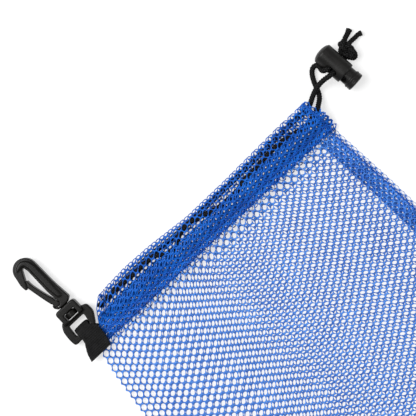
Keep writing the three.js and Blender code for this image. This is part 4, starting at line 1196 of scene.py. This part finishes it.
def upright(radius, half):
    """A round bar across the hook's plate, along Z, at the gate's pivot."""
    bar = pin(radius, -half, half, 48)
    for vert in bar.data.vertices:
        vert.co = (vert.co.x + GATE_PIVOT[0], vert.co.z + GATE_PIVOT[1], -vert.co.y)
    return bar


hook_body = plate([rounded(hook_outline)], BLADE, 0.45)
hook_body = combined(hook_body, plate([rounded(SPINE)], BLADE + SPINE_PROUD, 0.5), "UNION")
hook_body = combined(hook_body, upright(SOCKET_RADIUS, CUT), "DIFFERENCE")
hook_body = combined(hook_body, pin(POST_RADIUS, head_top - 1, foot + 1), "UNION")
head = turned([
    (0, head_low), (HEAD_RADIUS - 0.5, head_low), (HEAD_RADIUS, head_low + 0.5),
    (HEAD_RADIUS, head_top - 0.3), (HEAD_RADIUS - 0.3, head_top), (0, head_top),
])
hook_body = combined(hook_body, head, "UNION")
moulded(
    hook_body, "hook_moulding", VOXEL, EASED, HOOK_ORIGIN, hook_plastic,
    "hook", "hook_body",
)

# The gate
# A slim springy arm of the same nylon. Its round knuckle sits in the hook's socket and its tip rests in
# the notch behind the hook's nose.
KNUCKLE_RADIUS, FINE_VOXEL, FINE_EASED = 2.3, 0.3, 3
GATE_OUTLINE = [
    (-3.9, 18.2, 0), (-1.5, 17.6, 0), (-1.5, 20.2, 0.6), (-4.1, 28.5, 3), (-6.25, 37.5, 3),
    (-6.2, 41.2, 0.35), (-7.1, 41.4, 0.35), (-9.3, 36.6, 1), (-7, 25.4, 3), (-5.2, 18.4, 0),
]
gate = combined(plate([rounded(GATE_OUTLINE)], BLADE, 0.3), upright(KNUCKLE_RADIUS, BLADE / 2), "UNION")
moulded(
    gate, "gate_moulding", FINE_VOXEL, FINE_EASED, HOOK_ORIGIN, hook_plastic,
    "gate", "hook_gate",
)

# The cord lock's barrel
# Black polypropylene: a moulded cup with a low domed end and a wide hole across it for both cords. Its
# surface is satin, with a small radius round every rim.
BARREL_RADIUS, BARREL_WALL, CLOSED_END, DOME, OPEN_END, END_WALL = 7.4, 1.2, 12.5, 2.0, 8.9, 1.5
DOME_PROFILE = ((0.25, 0.96), (0.5, 0.8), (0.75, 0.48))
CLOSED_RIM, OPEN_RIM = ((0.5, 0), (0.12, 0.3), (0, 0.8)), ((0, 0.6), (0.18, 0.18), (0.6, 0))
LOCK_ORIGIN = tuple(RIGHT_CORNER + (31, 5.5, 7.5))
LOCK_TURN = math.radians(5.9)
BARREL_VOXEL, BARREL_EASED = 0.32, 4
HOLE_LENGTH, HOLE_WIDTH, HOLE_TILT, HOLE_REACH = 8.4, 4.6, math.radians(36), 24


def cord_hole(low, high):
    """An obround bar through the lock, for cutting its hole."""
    half = HOLE_WIDTH / 2
    outline = []
    for middle, start in ((high - half, 0), (low + half, math.pi)):
        for angle in np.linspace(start, start + math.pi, 17):
            outline.append((half * math.cos(angle), middle + half * math.sin(angle)))
    bar = plate([outline], HOLE_REACH, 0.01)
    c, s = math.cos(math.pi / 2 + HOLE_TILT), math.sin(math.pi / 2 + HOLE_TILT)
    for vert in bar.data.vertices:
        x, y, z = vert.co
        vert.co = (x * c + z * s, y, -x * s + z * c)
    return bar


lock_plastic = plastic_finish("lock_polymer", (0.0068, 0.0065, 0.0061), 0.36, 0.18)
bore, inner_end = BARREL_RADIUS - BARREL_WALL, CLOSED_END - END_WALL
barrel_profile = [(0, CLOSED_END + DOME)]
barrel_profile += [(out * BARREL_RADIUS, CLOSED_END + up * DOME) for out, up in DOME_PROFILE]
barrel_profile += [(BARREL_RADIUS - off, CLOSED_END - back) for off, back in CLOSED_RIM]
barrel_profile += [(BARREL_RADIUS - off, -OPEN_END + back) for off, back in OPEN_RIM]
barrel_profile += [(bore, -OPEN_END), (bore, inner_end), (0, inner_end)]
barrel = combined(turned(barrel_profile), cord_hole(-HOLE_LENGTH / 2, HOLE_LENGTH / 2), "DIFFERENCE")
barrel = moulded(
    barrel, "lock_barrel_moulding", BARREL_VOXEL, BARREL_EASED, LOCK_ORIGIN, lock_plastic,
    "bag", "lock_barrel", LOCK_TURN,
)

# The cord lock's plunger
# The button that a hidden spring pushes out of the barrel: a stem with a long slot for the cords, which
# ends as an arch in its neck, and a ribbed cap for the thumb.
NECK, CAP_RADIUS, CAP_LENGTH, INNER_END, SLOT_END = 4.7, 6.65, 4.8, 6.3, 12.2
GROOVES_AT, GROOVE_DEPTH = (0.36, 0.62), 0.5
stem = bore - 0.3
cap_top = -OPEN_END - NECK
cap_end = cap_top - CAP_LENGTH
plunger_profile = [
    (0, INNER_END), (stem - 0.3, INNER_END), (stem, INNER_END - 0.3), (stem, cap_top),
    (CAP_RADIUS - 0.3, cap_top), (CAP_RADIUS, cap_top - 0.3),
]
for groove in GROOVES_AT:
    middle, floor_radius = cap_top - groove * CAP_LENGTH, CAP_RADIUS - GROOVE_DEPTH
    plunger_profile += [
        (CAP_RADIUS, middle + 0.45), (floor_radius, middle + 0.15),
        (floor_radius, middle - 0.15), (CAP_RADIUS, middle - 0.45),
    ]
plunger_profile += [
    (CAP_RADIUS, cap_end + 0.9), (CAP_RADIUS - 0.5, cap_end + 0.3), (0.7 * CAP_RADIUS, cap_end),
    (0.35 * CAP_RADIUS, cap_end - 0.15), (0, cap_end - 0.2),
]
plunger = combined(turned(plunger_profile), cord_hole(-SLOT_END, HOLE_LENGTH / 2), "DIFFERENCE")
plunger = moulded(
    plunger, "lock_plunger_moulding", FINE_VOXEL, FINE_EASED, LOCK_ORIGIN, lock_plastic,
    "plunger", "lock_plunger", LOCK_TURN,
)
